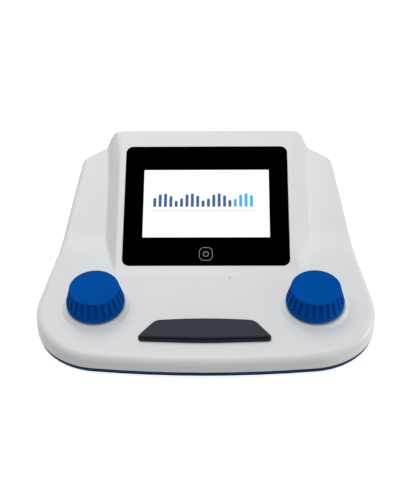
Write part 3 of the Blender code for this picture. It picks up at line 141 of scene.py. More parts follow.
# Dials
DIAL_SPACING = 175.5 * MM
DIAL_SETBACK = 59.2 * MM
SEAT_HEIGHT = 2.6 * MM
SEAT_FOOT_RADIUS = 27.7 * MM
SEAT_TOP_RADIUS = 25.2 * MM
SEAT_EDGE = 0.5 * MM
BUSHING_RADIUS = 4.5 * MM
KNOB_LIFT = 0.8 * MM
KNOB_HEIGHT = 18 * MM
KNOB_BASE_RADIUS = 23.4 * MM
KNOB_TOP_RADIUS = 20 * MM
KNOB_BAND_HEIGHT = 3.8 * MM
KNOB_FOOT_HEIGHT = 1.8 * MM
KNOB_FOOT_TUCK = 1.2 * MM
KNOB_EDGE = 1.2 * MM
KNOB_WALL = 3 * MM
KNOB_TOP_THICKNESS = 3 * MM
KNOB_DISH = 0.6 * MM
KNOB_DISH_MARGIN = 0.8 * MM
KNOB_DISH_SHARES = (0, 0.1, 0.25, 0.5, 0.75, 0.97)
HUB_RADIUS = 6 * MM
HUB_START = 6 * MM
SHAFT_ROOM = 3.3 * MM
SHAFT_RISE = 13 * MM
FLUTES = 24
FLUTE_DEPTH = 1.8 * MM
FLUTE_SHARE = 0.46
FLUTE_POINTS = 14
FLUTE_MOUTH_SHARES = ((0.2, 0.35), (0.6, 0.8), (1.2, 1))

# Tone key
KEY_SETBACK = 20.6 * MM
KEY_FRONT_WIDTH = 104 * MM
KEY_BACK_WIDTH = 78 * MM
KEY_LENGTH = 20.6 * MM
KEY_FRONT_BOW_RADIUS = 420 * MM
KEY_FRONT_SWEEP = math.radians(2.2)
KEY_BACK_BOW_RADIUS = 400 * MM
KEY_BACK_SWEEP = math.radians(4.3)
KEY_FRONT_CORNER = 1.7 * MM
KEY_BACK_CORNER = 9 * MM
KEY_PLATE = 1.9 * MM
KEY_ROUND = 0.9 * MM
SURROUND_STEP = 1.4 * MM
SURROUND_TOP = 2.6 * MM
SURROUND_ROUND = 0.5 * MM
KEY_UNDER = 3.4 * MM
KEY_TOP = 5.3 * MM
KEY_WELL_INSET = 3 * MM
KEY_WELL_CORNER = 1.5 * MM
HINGE_PLACE = 13.1 * MM
HINGE_DEPTH = 6.5 * MM
HINGE_SPREAD = 44 * MM
HINGE_EYE_RADIUS = 2.8 * MM
HINGE_EYE_SHARE = 0.999
HINGE_BORE = 1.5 * MM
HINGE_ARM_WIDTH = 4 * MM
SWITCH_LEAD = 4.8 * MM
PLUNGER_RADIUS = 2.2 * MM
PLUNGER_LOW = -4.3 * MM
CRADLE_TOP = -11.5 * MM
CRADLE_SCREW_SPREAD = 124 * MM
CRADLE_POST_RADIUS = 3.2 * MM

# Microphone
MIC_OFFSET = 19.7 * MM
MIC_SETBACK = 92.1 * MM
MIC_RADIUS = 3 * MM
MIC_HEIGHT = 2.2 * MM
MIC_HOLE_RADIUS = 0.7 * MM
MIC_CUP_WALL = 1 * MM

# Rear and underside
LIP_WALL = 1.5 * MM
LIP_HEIGHT = 3 * MM
PANEL_FACE = BACK - WALL - LIP_WALL - 2 * GAP
WINDOW_WIDTH = 147 * MM
WINDOW_HEIGHT = 14.6 * MM
JACK_AXIS = 19.9 * MM
JACK_COUNT = 5
JACK_START = -59.5 * MM
JACK_PITCH = 20.5 * MM
JACK_BORE = 3.25 * MM
JACK_RING_RADIUS = 4.9 * MM
JACK_RING_RISE = 0.7 * MM
JACK_RING_SINK = 0.2 * MM
JACK_RING_BEVEL = 0.4 * MM
JACK_RING_MOUTH = 3.9 * MM
USB_COLUMN = 42.5 * MM
USB_LEVEL = 18.7 * MM
USB_TONGUE_WIDTH = 5.8 * MM
USB_TONGUE_HEIGHT = 3.4 * MM
TRAY_ROUND = 0.4 * MM
SCREW_HEAD_RADIUS = 2.8 * MM
SCREW_HEAD_HEIGHT = 1.8 * MM
SCREW_SHANK = 1.3 * MM
SCREW_SINK = 1 * MM
SCREW_REACH = 7.2 * MM
SCREW_HEAD_ROUND = 0.6 * MM
RECESS_LENGTH_SHARE = 1.2
RECESS_WIDTH_SHARE = 0.26
RECESS_DEPTH_SHARE = 0.6
PILOT_RADIUS = 1 * MM
PILOT_RISE = 1 * MM
TUBE_TOP = 6.7 * MM
TUBE_RADIUS = 4.8 * MM
POST_RADIUS = 4.2 * MM
POST_BASE = 7 * MM
CASE_SCREW_SPREADS = (218.2 * MM, 226.2 * MM, 184.2 * MM)
CASE_SCREW_SETBACKS = (36 * MM, 112 * MM, 203.7 * MM)
FOOT_SPREADS = (164.2 * MM, 170.2 * MM)
FOOT_SETBACKS = (22 * MM, 186.7 * MM)
BOARD_SCREW_SPREAD = 140.2 * MM
BOARD_SCREW_ROWS = (33.7 * MM, 73.7 * MM)
STANDOFF_RADIUS = 3.2 * MM
STANDOFF_TOP = 11.2 * MM
FOOT_ROOM_RADIUS = 8.3 * MM
FOOT_SINK = 1 * MM

# Fineness
ARC_STEP = math.radians(3)
ARC_LEAST_STEPS = 8
RIM_STEPS = 8
EDGE_STEPS = 4
KEY_EDGE_STEPS = 5
PLATE_CORNER_STEPS = 12
PLATE_EDGE_STEPS = 4
ROUND_SIDES = 96
SMALL_SIDES = 24
MERGE_DISTANCE = MM / 1000
BLEND_SHARES = [index / 5 - 1 for index in range(11)]
FLANK_ROW_SHARES = [(index + 1) / 12 for index in range(11)]
SWELL_ROW_SHARES = [(index + 1) / 12 for index in range(12)]
SWELL_COLUMN_SHARES = [(index + 1) / 10 for index in range(9)]
SMOOTH_ANGLE = math.radians(32)


# Modelling, as by hand


def alone(piece):
    bpy.ops.object.select_all(action="DESELECT")
    piece.select_set(True)
    bpy.context.view_layer.objects.active = piece


def added(name, primitive, **settings):
    """A new primitive with a name, alone selected."""
    bpy.ops.object.select_all(action="DESELECT")
    primitive(**settings)
    piece = bpy.context.object
    piece.name = name
    return piece


@contextlib.contextmanager
def editing(piece, kind="FACE"):
    alone(piece)
    bpy.ops.object.mode_set(mode="EDIT")
    bpy.ops.mesh.select_mode(type=kind)
    yield
    bpy.ops.object.mode_set(mode="OBJECT")


def pick(piece, parts, wanted):
    """In edit mode, selects only the vertices, edges or faces that pass a test."""
    bpy.ops.mesh.select_all(action="DESELECT")
    shape = bmesh.from_edit_mesh(piece.data)
    for part in getattr(shape, parts):
        if wanted(part):
            part.select_set(True)
    bmesh.update_edit_mesh(piece.data)


def settle(piece, place):
    """Moves a piece to its place and leaves the place in its mesh."""
    alone(piece)
    piece.matrix_world = place
    bpy.ops.object.transform_apply(location=True, rotation=True, scale=True)
    return piece


def close(piece):
    with editing(piece):
        bpy.ops.mesh.select_all(action="SELECT")
        bpy.ops.mesh.fill_holes(sides=0)
        bpy.ops.mesh.select_all(action="SELECT")
        bpy.ops.mesh.normals_make_consistent(inside=False)
    return piece


def grown(name, rings, place=Matrix()):
    """A closed solid: a face on the first ring of points, extruded through the others."""
    rim = len(rings[0])
    piece = added(name, bpy.ops.mesh.primitive_circle_add, vertices=rim, fill_type="NGON")
    with editing(piece):
        shape = bmesh.from_edit_mesh(piece.data)
        order = shape.verts.layers.int.new("order")
        for index, corner in enumerate(shape.verts):
            corner[order] = index
            corner.co = rings[0][index]
        bpy.ops.mesh.select_all(action="SELECT")
        for ring in rings[1:]:
            bpy.ops.mesh.extrude_region_move()
            shape = bmesh.from_edit_mesh(piece.data)
            order = shape.verts.layers.int["order"]
            for corner in next(face for face in shape.faces if face.select).verts:
                corner.co = ring[corner[order]]
    return settle(close(piece), place)


def ring(points, height):
    return [(x, y, height) for x, y in points]


def circle(radius, sides=ROUND_SIDES):
    turns = [math.tau * index / sides for index in range(sides)]
    return [(radius * math.cos(turn), radius * math.sin(turn)) for turn in turns]


def quarter_turn(steps):
    """The angles of a rounded edge, from its side to its top."""
    return [math.pi / 2 * step / steps for step in range(steps + 1)]


def turned(name, profile, place=Matrix(), sides=ROUND_SIDES):
    """A round solid through pairs of radius and height."""
    return grown(name, [ring(circle(radius, sides), height) for radius, height in profile], place)


def cylinder(name, radius, low, high, place=Matrix(), sides=ROUND_SIDES):
    middle = (0, 0, (low + high) / 2)
    piece = added(
        name,
        bpy.ops.mesh.primitive_cylinder_add,
        vertices=sides,
        radius=radius,
        depth=high - low,
        location=middle,
    )
    return settle(piece, place @ Matrix.Translation(middle))


def block(name, width, length, low, high, place=Matrix()):
    middle = Matrix.Translation((0, 0, (low + high) / 2))
    piece = added(name, bpy.ops.mesh.primitive_cube_add, size=1)
    return settle(piece, place @ middle @ Matrix.Diagonal((width, length, high - low, 1)))


def rounded_plate(name, width, length, corner, low, high, edge, place=Matrix()):
    """A plate with rounded corners and a softened upper edge."""
    piece = added(name, bpy.ops.mesh.primitive_plane_add, size=1)
    settle(piece, Matrix.Translation((0, 0, low)) @ Matrix.Diagonal((width, length, 1, 1)))
    with editing(piece, "VERT"):
        bpy.ops.mesh.select_all(action="SELECT")
        bpy.ops.mesh.bevel(offset=corner, affect="VERTICES", segments=PLATE_CORNER_STEPS)
        bpy.ops.mesh.select_all(action="SELECT")
        bpy.ops.mesh.extrude_region_move(TRANSFORM_OT_translate={"value": (0, 0, high - low)})
    close(piece)
    if edge:
        with editing(piece, "EDGE"):
            top = high - edge / 4
            pick(piece, "edges", lambda part: all(corner.co.z > top for corner in part.verts))
            bpy.ops.mesh.bevel(offset=edge, segments=PLATE_EDGE_STEPS)
    return settle(piece, place)


def combine(piece, others, operation):
    for other in others:
        alone(piece)
        modifier = piece.modifiers.new(operation.lower(), "BOOLEAN")
        modifier.operation = operation
        modifier.solver = "EXACT"
        modifier.object = other
        bpy.ops.object.modifier_apply(modifier=modifier.name)
        bpy.data.objects.remove(other)
    with editing(piece, "VERT"):
        bpy.ops.mesh.select_all(action="SELECT")
        bpy.ops.mesh.remove_doubles(threshold=MERGE_DISTANCE)
    return piece


def cut(piece, *others):
    return combine(piece, others, "DIFFERENCE")


def join(piece, *others):
    return combine(piece, others, "UNION")


def smooth(piece, angle=SMOOTH_ANGLE):
    alone(piece)
    bpy.ops.object.shade_smooth_by_angle(angle=angle)
    modifier = piece.modifiers.new("flat_faces", "WEIGHTED_NORMAL")
    modifier.keep_sharp = True
    bpy.ops.object.modifier_apply(modifier=modifier.name)


def copied(piece, name, place):
    other = piece.copy()
    other.data = piece.data.copy()
    other.name = name
    bpy.context.collection.objects.link(other)
    return settle(other, place)


def dress(piece, finish, body="housing", nodes=()):
    """Gives a piece its finish, hangs it on the body that carries it and hides the nodes it stands for."""
    smooth(piece)
    piece.data.materials.clear()
    piece.data.materials.append(finish)
    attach(piece, body)
    if nodes:
        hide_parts(*nodes)


# Outlines and the case's form


class Outline:
    """A closed plan outline of straight runs and arcs, counter-clockwise from its front middle."""

    def __init__(self, corners):
        self.corners = corners
        self.arcs = []
        places = [Vector(corner[:2]) for corner in corners]
        for index, (x, y, radius) in enumerate(corners):
            here = places[index]
            into = (here - places[index - 1]).normalized()
            out = (places[(index + 1) % len(places)] - here).normalized()
            turn = -into.angle_signed(out)
            start = here - into * radius * math.tan(turn / 2)
            heading = math.atan2(into.y, into.x)
            centre = start + radius * Vector((-math.sin(heading), math.cos(heading)))
            self.arcs.append((centre, radius, heading, turn))

    def walk(self):
        """Every point of the outline with its outward normal."""
        found = []
        for centre, radius, heading, turn in self.arcs:
            steps = max(ARC_LEAST_STEPS, math.ceil(turn / ARC_STEP))
            for step in range(steps + 1):
                angle = heading + turn * step / steps - math.pi / 2
                normal = Vector((math.cos(angle), math.sin(angle)))
                found.append((centre + radius * normal, normal))
        return found

    def loop(self, offset=0):
        return [tuple(point + normal * offset) for point, normal in self.walk()]

    def inset(self, depth, least_radius):
        """A smaller outline, whose straight runs lie a depth inside this one's."""
        moved = []
        places = [Vector(corner[:2]) for corner in self.corners]
        for index, here in enumerate(places):
            into = (here - places[index - 1]).normalized()
            out = (places[(index + 1) % len(places)] - here).normalized()
            inward = Vector((-into.y - out.y, into.x + out.x)) / (1 + into.dot(out))
            radius = max(self.corners[index][2] - depth, least_radius)
            moved.append((*(here + inward * depth), radius))
        return Outline(moved)


def mirrored(corners):
    return corners + [(-x, y, radius) for x, y, radius in reversed(corners) if x]


def bow(edge, radius, sweep):
    return (0, edge - radius * (1 / math.cos(sweep) - 1))


def meet(first, first_heading, second, second_heading):
    """Where two lines in plan cross."""
    a = Vector((math.cos(first_heading), math.sin(first_heading)))
    b = Vector((math.cos(second_heading), math.sin(second_heading)))
    between = Vector(second) - Vector(first)
    return Vector(first) + a * (between.cross(b) / a.cross(b))


def case_outline():
    centre_x = CASE_WIDTH / 2 - FRONT_CORNER_RADIUS
    front_bow_radius = FRONT_BOW_SHARE * (centre_x / math.sin(FRONT_SWEEP) + FRONT_CORNER_RADIUS)
    nose = bow(FRONT, front_bow_radius, FRONT_SWEEP)
    centre_y = nose[1] + centre_x * math.tan(FRONT_SWEEP) + FRONT_CORNER_RADIUS / math.cos(FRONT_SWEEP)
    side = (
        centre_x + FRONT_CORNER_RADIUS * math.cos(FRONT_TAPER),
        centre_y + FRONT_CORNER_RADIUS * math.sin(FRONT_TAPER),
    )
    front_corner = meet(nose, FRONT_SWEEP, side, math.pi / 2 + FRONT_TAPER)
    waist = meet(side, math.pi / 2 + FRONT_TAPER, (0, (side[1] + BACK) / 2), 0)
    shoulder = (CASE_WIDTH / 2 - SHOULDER_INSET, BACK)
    rear_corner = meet(waist, math.pi / 2 + REAR_TAPER, shoulder, -SHOULDER_SWEEP)
    rear_turn = math.pi / 2 - REAR_TAPER - SHOULDER_SWEEP
    side_run = (rear_corner - waist).length - REAR_CORNER_RADIUS * math.tan(rear_turn / 2)
    side_bow_radius = SIDE_BOW_SHARE * side_run / math.tan((REAR_TAPER - FRONT_TAPER) / 2)
    return Outline(
        mirrored(
            [
                (*nose, front_bow_radius),
                (*front_corner, FRONT_CORNER_RADIUS),
                (*waist, side_bow_radius),
                (*rear_corner, REAR_CORNER_RADIUS),
                (*shoulder, SHOULDER_RADIUS),
            ]
        )
    )


def key_outline():
    front = bow(0, KEY_FRONT_BOW_RADIUS, KEY_FRONT_SWEEP)
    back = bow(-KEY_LENGTH, KEY_BACK_BOW_RADIUS, KEY_BACK_SWEEP)
    corner_drop = math.tan(KEY_FRONT_SWEEP) * KEY_FRONT_WIDTH / 2
    corner_lift = math.tan(KEY_BACK_SWEEP) * KEY_BACK_WIDTH / 2
    return Outline(
        mirrored(
            [
                (*front, KEY_FRONT_BOW_RADIUS),
                (KEY_FRONT_WIDTH / 2, front[1] + corner_drop, KEY_FRONT_CORNER),
                (KEY_BACK_WIDTH / 2, -back[1] - corner_lift, KEY_BACK_CORNER),
                (0, -back[1], KEY_BACK_BOW_RADIUS),
            ]
        )
    )


def blended_max(a, b, blend):
    """The higher of two heights, rounded where they come within the blend of each other."""
    share = max(0, min(1, (a - b) / (2 * blend) + 1 / 2))
    return b + (a - b) * share + blend * share * (1 - share)


def blended_min(a, b, blend):
    return -blended_max(-a, -b, blend)


def deck_height(y):
    return UNDERSIDE + DECK_FRONT_HEIGHT + (y - FRONT) * math.tan(DECK_TILT)


def console_height(y):
    start = FRONT + CONSOLE_SETBACK
    return deck_height(start) + (y - start) * math.tan(CONSOLE_TILT)


def skin_height(x, y):
    """The case's top: the deck, the raised console, the wings beside it and the flanks between.

    The flanks are flat, but swell and spread towards the back.
    """
    wing = blended_max(deck_height(y), console_height(y) - WING_DROP, WING_FOOT_BLEND)
    across = (x - CONSOLE_WIDTH / 2) / (WING_DROP * FLANK_SPREAD)
    rear = max(0, 1 - (BACK - y) / FLANK_SWELL_REACH) ** 2
    fall = across if across < 0 else (across / (1 + FLANK_SPLAY * rear)) ** (1 + FLANK_SWELL * rear)
    flank = console_height(y) - WING_DROP * fall
    console = blended_min(console_height(y), flank, CONSOLE_EDGE_BLEND)
    return blended_max(wing, console, CONSOLE_FOOT_BLEND * (1 + rear))


def crease_columns():
    edge = CONSOLE_WIDTH / 2
    width = WING_DROP * FLANK_SPREAD
    found = [edge + width * share for share in SWELL_COLUMN_SHARES]
    for centre, blend in ((edge, CONSOLE_EDGE_BLEND), (edge + width, CONSOLE_FOOT_BLEND)):
        found += [centre + blend * FLANK_SPREAD * share for share in BLEND_SHARES]
    return found


def crease_rows():
    rise = math.tan(CONSOLE_TILT) - math.tan(DECK_TILT)
    start = FRONT + CONSOLE_SETBACK
    reach = WING_DROP / rise
    found = [start + reach * share for share in FLANK_ROW_SHARES]
    found += [BACK - FLANK_SWELL_REACH * share for share in SWELL_ROW_SHARES]
    for centre, blend in ((start, CONSOLE_FOOT_BLEND), (start + reach, WING_FOOT_BLEND)):
        found += [centre + blend / rise * share for share in BLEND_SHARES]
    return found


def case_solid(name, inset, roof, low):
    """What lies under the case's skin, an inset in from its outline and a roof's thickness down."""
    flat_low = -CASE_DEPTH
    walk = case_outline().walk()
    rings = [[(*(point - normal * inset), flat_low) for point, normal in walk]]
    for angle in quarter_turn(RIM_STEPS):
        points = []
        for point, normal in walk:
            rim = RIM_RADIUS + (REAR_RIM_RADIUS - RIM_RADIUS) * max(0, normal.y) - inset
            place = point - normal * (inset + rim * (1 - math.cos(angle)))
            points.append((*place, -rim * (1 - math.sin(angle))))
        rings.append(points)
    piece = grown(name, rings)
    shift = inset / 2
    columns = [side * (column - shift) for column in crease_columns() for side in (-1, 1)]
    with editing(piece):
        for axis, places in (((1, 0, 0), sorted([0] + columns)), ((0, 1, 0), sorted(crease_rows()))):
            for place in places:
                bpy.ops.mesh.select_all(action="SELECT")
                middle = [part * place for part in axis]
                bpy.ops.mesh.bisect(plane_co=middle, plane_no=axis, threshold=MERGE_DISTANCE)
        shape = bmesh.from_edit_mesh(piece.data)
        for corner in shape.verts:
            if corner.co.z < flat_low / 2:
                corner.co.z = low
            else:
                corner.co.z += skin_height(abs(corner.co.x) + shift, corner.co.y) - roof
        bmesh.update_edit_mesh(piece.data)
        bpy.ops.mesh.select_all(action="SELECT")
        bpy.ops.mesh.quads_convert_to_tris(quad_method="BEAUTY", ngon_method="BEAUTY")
        bpy.ops.mesh.normals_make_consistent(inside=False)
    return piece


def tilted(x, y, z, tilt):
    return Matrix.Translation((x, y, z)) @ Matrix.Rotation(tilt, 4, "X")


def on_deck(x, setback, rise=0):
    y = FRONT + setback
    return tilted(x, y, deck_height(y), DECK_TILT) @ Matrix.Translation((0, 0, rise))


GLASS_ROW = FRONT + CONSOLE_SETBACK + (GLASS_FOOT_MARGIN + GLASS_LENGTH / 2) * math.cos(CONSOLE_TILT)
CONSOLE = tilted(0, GLASS_ROW, console_height(GLASS_ROW), CONSOLE_TILT)
SCREEN = CONSOLE @ Matrix.Translation((0, LCD_RISE, 0))
KEY = on_deck(0, KEY_SETBACK)
DIALS = {
    "left": on_deck(-DIAL_SPACING / 2, DIAL_SETBACK, SEAT_HEIGHT),
    "right": on_deck(DIAL_SPACING / 2, DIAL_SETBACK, SEAT_HEIGHT),
}
REAR = tilted(0, PANEL_FACE, JACK_AXIS, -math.pi / 2)


def standing(x, y):
    return Matrix.Translation((x, y, 0))


def in_pairs(spreads, setbacks):
    """Places left and right of the middle, in rows set back from the front."""
    rows = zip(spreads, setbacks)
    return [(side * spread / 2, FRONT + setback) for spread, setback in rows for side in (-1, 1)]


CASE_SCREW_PLACES = in_pairs(CASE_SCREW_SPREADS, CASE_SCREW_SETBACKS)
FOOT_PLACES = in_pairs(FOOT_SPREADS, FOOT_SETBACKS)
BOARD_SCREW_PLACES = [
    (side * BOARD_SCREW_SPREAD / 2, row) for side in (-1, 1) for row in BOARD_SCREW_ROWS
]


# Finishes


class Value:
    """A socket of a finish, on which Python's signs build Math nodes."""

    def __init__(self, finish, socket):
        self.finish = finish
        self.socket = socket

    def sign(self, operation, first, second):
        return self.finish.node("ShaderNodeMath", {"operation": operation}, {0: first, 1: second})

    def __add__(self, other):
        return self.sign("ADD", self, other)

    def __sub__(self, other):
        return self.sign("SUBTRACT", self, other)

    def __rsub__(self, other):
        return self.sign("SUBTRACT", other, self)

    def __mul__(self, other):
        return self.sign("MULTIPLY", self, other)

    def __gt__(self, other):
        return self.sign("GREATER_THAN", self, other)

    def __lt__(self, other):
        return self.sign("LESS_THAN", self, other)

    def __abs__(self):
        return self.sign("ABSOLUTE", self, 0)

    __radd__ = __add__
    __rmul__ = __mul__


class Finish:
    """A material on the Principled shader, whose patterns follow the object's own coordinates."""

    def __init__(self, name, colour, roughness, **sockets):
        self.material = bpy.data.materials.new(name)
        self.material.use_nodes = True
        self.material.diffuse_color = (*colour, 1)
        self.colour = (*colour, 1)
        self.nodes = self.material.node_tree.nodes
        self.shader = self.nodes["Principled BSDF"]
        self.feed(self.shader, {"Base Color": self.colour, "Roughness": roughness})
        self.feed(self.shader, {name.replace("_", " "): value for name, value in sockets.items()})

    def feed(self, node, sockets):
        for key, value in sockets.items():
            socket = node.inputs[key]
            if isinstance(value, Value):
                self.material.node_tree.links.new(value.socket, socket)
            else:
                socket.default_value = value

    def node(self, kind, settings, sockets, output=0):
        made = self.nodes.new(kind)
        for key, value in settings.items():
            setattr(made, key, value)
        self.feed(made, sockets)
        return Value(self, made.outputs[output])

    def place(self):
        return self.node("ShaderNodeTexCoord", {}, {}, "Object")

    def noise(self, scale, detail=2, stretch=(1, 1, 1)):
        mapping = self.node("ShaderNodeMapping", {}, {"Vector": self.place(), "Scale": stretch})
        return self.node(
            "ShaderNodeTexNoise", {}, {"Vector": mapping, "Scale": scale, "Detail": detail}, "Fac"
        )

    def mix(self, share, first, second):
        return self.node(
            "ShaderNodeMix",
            {"data_type": "RGBA"},
            {0: share, 6: first, 7: second},
            2,
        )

    def mottled(self, depth, scale):
        """Uneven colour, lighter and darker by a share of itself."""
        low = tuple(part * (1 - depth) for part in self.colour[:3]) + (1,)
        high = tuple(min(1, part * (1 + depth)) for part in self.colour[:3]) + (1,)
        made = self.mix(self.noise(scale, 4), low, high)
        self.feed(self.shader, {"Base Color": made})
        return self

    def grained(self, scale, depth, strength=0.5, stretch=(1, 1, 1), rough=0.06):
        """A moulded or brushed surface: fine relief, with the roughness uneven to match."""
        grain = self.noise(scale, 3, stretch)
        bump = self.node(
            "ShaderNodeBump", {}, {"Strength": strength, "Distance": depth, "Height": grain}, "Normal"
        )
        base = self.shader.inputs["Roughness"].default_value
        self.feed(self.shader, {"Normal": bump, "Roughness": base - rough / 2 + grain * rough})
        return self


def coordinate(finish, axis):
    return finish.node("ShaderNodeSeparateXYZ", {}, {"Vector": finish.place()}, axis)


def shining(name):
    """A part of the lit screen, whose colour is its own light."""
    return Finish(name, (0.01, 0.01, 0.01), 0.12, Emission_Strength=1.0, Specular_IOR_Level=0.12)


case_white = Finish("case_white", (0.735, 0.745, 0.745), 0.42).mottled(0.012, 35)
case_white.grained(2600, 0.02 * MM, 0.35)
tray_blue = Finish("tray_blue", (0.004, 0.034, 0.13), 0.5, Specular_IOR_Level=0.04).mottled(0.05, 60)
tray_blue.grained(2600, 0.02 * MM, 0.35)
knob_blue = Finish("knob_blue", (0, 0.078, 0.37), 0.5, Specular_IOR_Level=0.01).mottled(0.04, 90)
knob_blue.grained(3200, 0.02 * MM, 0.35)
key_dark = Finish("key_dark", (0.034, 0.038, 0.048), 0.62, Specular_IOR_Level=0.1).mottled(0.06, 140)
key_dark.grained(3600, 0.025 * MM, 0.5)
surround_dark = Finish("surround_dark", (0.02, 0.024, 0.033), 0.55, Specular_IOR_Level=0.08)
surround_dark.mottled(0.06, 140).grained(3600, 0.02 * MM, 0.4)
glass_black = Finish("glass_black", (0.0003, 0.0003, 0.0004), 0.06, Specular_IOR_Level=0)
glass_black.mottled(0.2, 30).grained(120, 0.002 * MM, 0.1, rough=0.03)
screen_lit = shining("screen_lit")
screen_blue = shining("screen_blue")
screen_grey = shining("screen_grey")
print_grey = Finish("print_grey", (0.3, 0.31, 0.32), 0.35, Specular_IOR_Level=0.2).mottled(0.05, 400)
foam = Finish("foam", (0.03, 0.03, 0.03), 0.9).mottled(0.2, 900)
foam.grained(1800, 0.15 * MM, 0.8)
lcd_back = Finish("lcd_back", (0.6, 0.62, 0.64), 0.35, Metallic=0.8).mottled(0.03, 200)
lcd_back.grained(500, 0.01 * MM, 0.3, (8, 1, 1))
steel = Finish("steel", (0.56, 0.57, 0.59), 0.3, Metallic=1.0).mottled(0.04, 300)
steel.grained(900, 0.01 * MM, 0.3, (1, 6, 1), 0.12)
ribbon = Finish("ribbon", (0.5, 0.3, 0.09), 0.4).mottled(0.06, 200)
ribbon.grained(700, 0.02 * MM, 0.3, (3, 0.2, 0.2))
board = Finish("board", (0.02, 0.16, 0.06), 0.45).grained(900, 0.02 * MM, 0.3)
foot_rubber = Finish("foot_rubber", (0.022, 0.022, 0.024), 0.8).mottled(0.15, 200)
foot_rubber.grained(2200, 0.05 * MM, 0.6)
panel_black = Finish("panel_black", (0.045, 0.05, 0.058), 0.5).mottled(0.06, 120)
panel_black.grained(2800, 0.03 * MM, 0.5)
socket_black = Finish("socket_black", (0.018, 0.018, 0.02), 0.42).mottled(0.08, 200)
socket_black.grained(2800, 0.02 * MM, 0.3)
usb_metal = Finish("usb_metal", (0.6, 0.61, 0.62), 0.28).grained(1200, 0.01 * MM, 0.3)

# The lit screen is white all over, a touch uneven as a back light is
lit = screen_lit.mix(screen_lit.noise(12, 1), (0.985, 0.99, 1, 1), WHITE)
screen_lit.feed(screen_lit.shader, {"Emission Color": lit})

# The level graphic's bars are dark blue, and light blue at the right
beyond = coordinate(screen_blue, "X") > BAR_BREAK
blues = screen_blue.mix(beyond, (0.011, 0.092, 0.31, 1), (0.018, 0.42, 0.8, 1))
screen_blue.feed(screen_blue.shader, {"Emission Color": blues})

# The dotted line under the bars is grey
greys = screen_grey.mix(screen_grey.noise(200, 1), (0.33, 0.34, 0.35, 1), (0.4, 0.41, 0.42, 1))
screen_grey.feed(screen_grey.shader, {"Emission Color": greys})

# Copper tracks under the boards' green
tracks = board.node(
    "ShaderNodeTexBrick",
    {"offset": 0.5},
    {
        "Vector": board.place(),
        "Scale": 90,
        "Mortar Size": 0.08,
        "Color1": BLACK,
        "Color2": BLACK,
        "Mortar": WHITE,
    },
    "Fac",
)
greens = board.mix(tracks, (0.015, 0.13, 0.05, 1), (0.04, 0.24, 0.09, 1))
board.feed(board.shader, {"Base Color": greens})

# The plug's tongue inside the metal shell is white plastic
aside = abs(coordinate(usb_metal, "X") - USB_COLUMN)
above = abs(coordinate(usb_metal, "Z") - USB_LEVEL)
tongue = (aside < USB_TONGUE_WIDTH / 2) * (above < USB_TONGUE_HEIGHT / 2)
usb_metal.feed(
    usb_metal.shader,
    {
        "Base Color": usb_metal.mix(tongue, (0.6, 0.61, 0.62, 1), (0.7, 0.7, 0.68, 1)),
        "Metallic": 1 - tongue,
    },
)

NODE_FINISHES = {
    "case_white": case_white,
    "tray_blue": tray_blue,
    "knob_blue": knob_blue,
    "key_dark": key_dark,
    "screen_glass": glass_black,
    "foam": foam,
    "lcd": lcd_back,
    "steel": steel,
    "ribbon": ribbon,
    "board": board,
    "foot_rubber": foot_rubber,
    "panel_black": panel_black,
    "socket_black": socket_black,
}


def dress_frame():
    for part in frame["record"]["subparts"]:
        node = frame["nodes"][part["node"]]
        finish = NODE_FINISHES[part["material_slot"]]
        if part["node"] == "usb_socket":
            finish = usb_metal
        node.data.materials.clear()
        node.data.materials.append(finish.material)


# Case


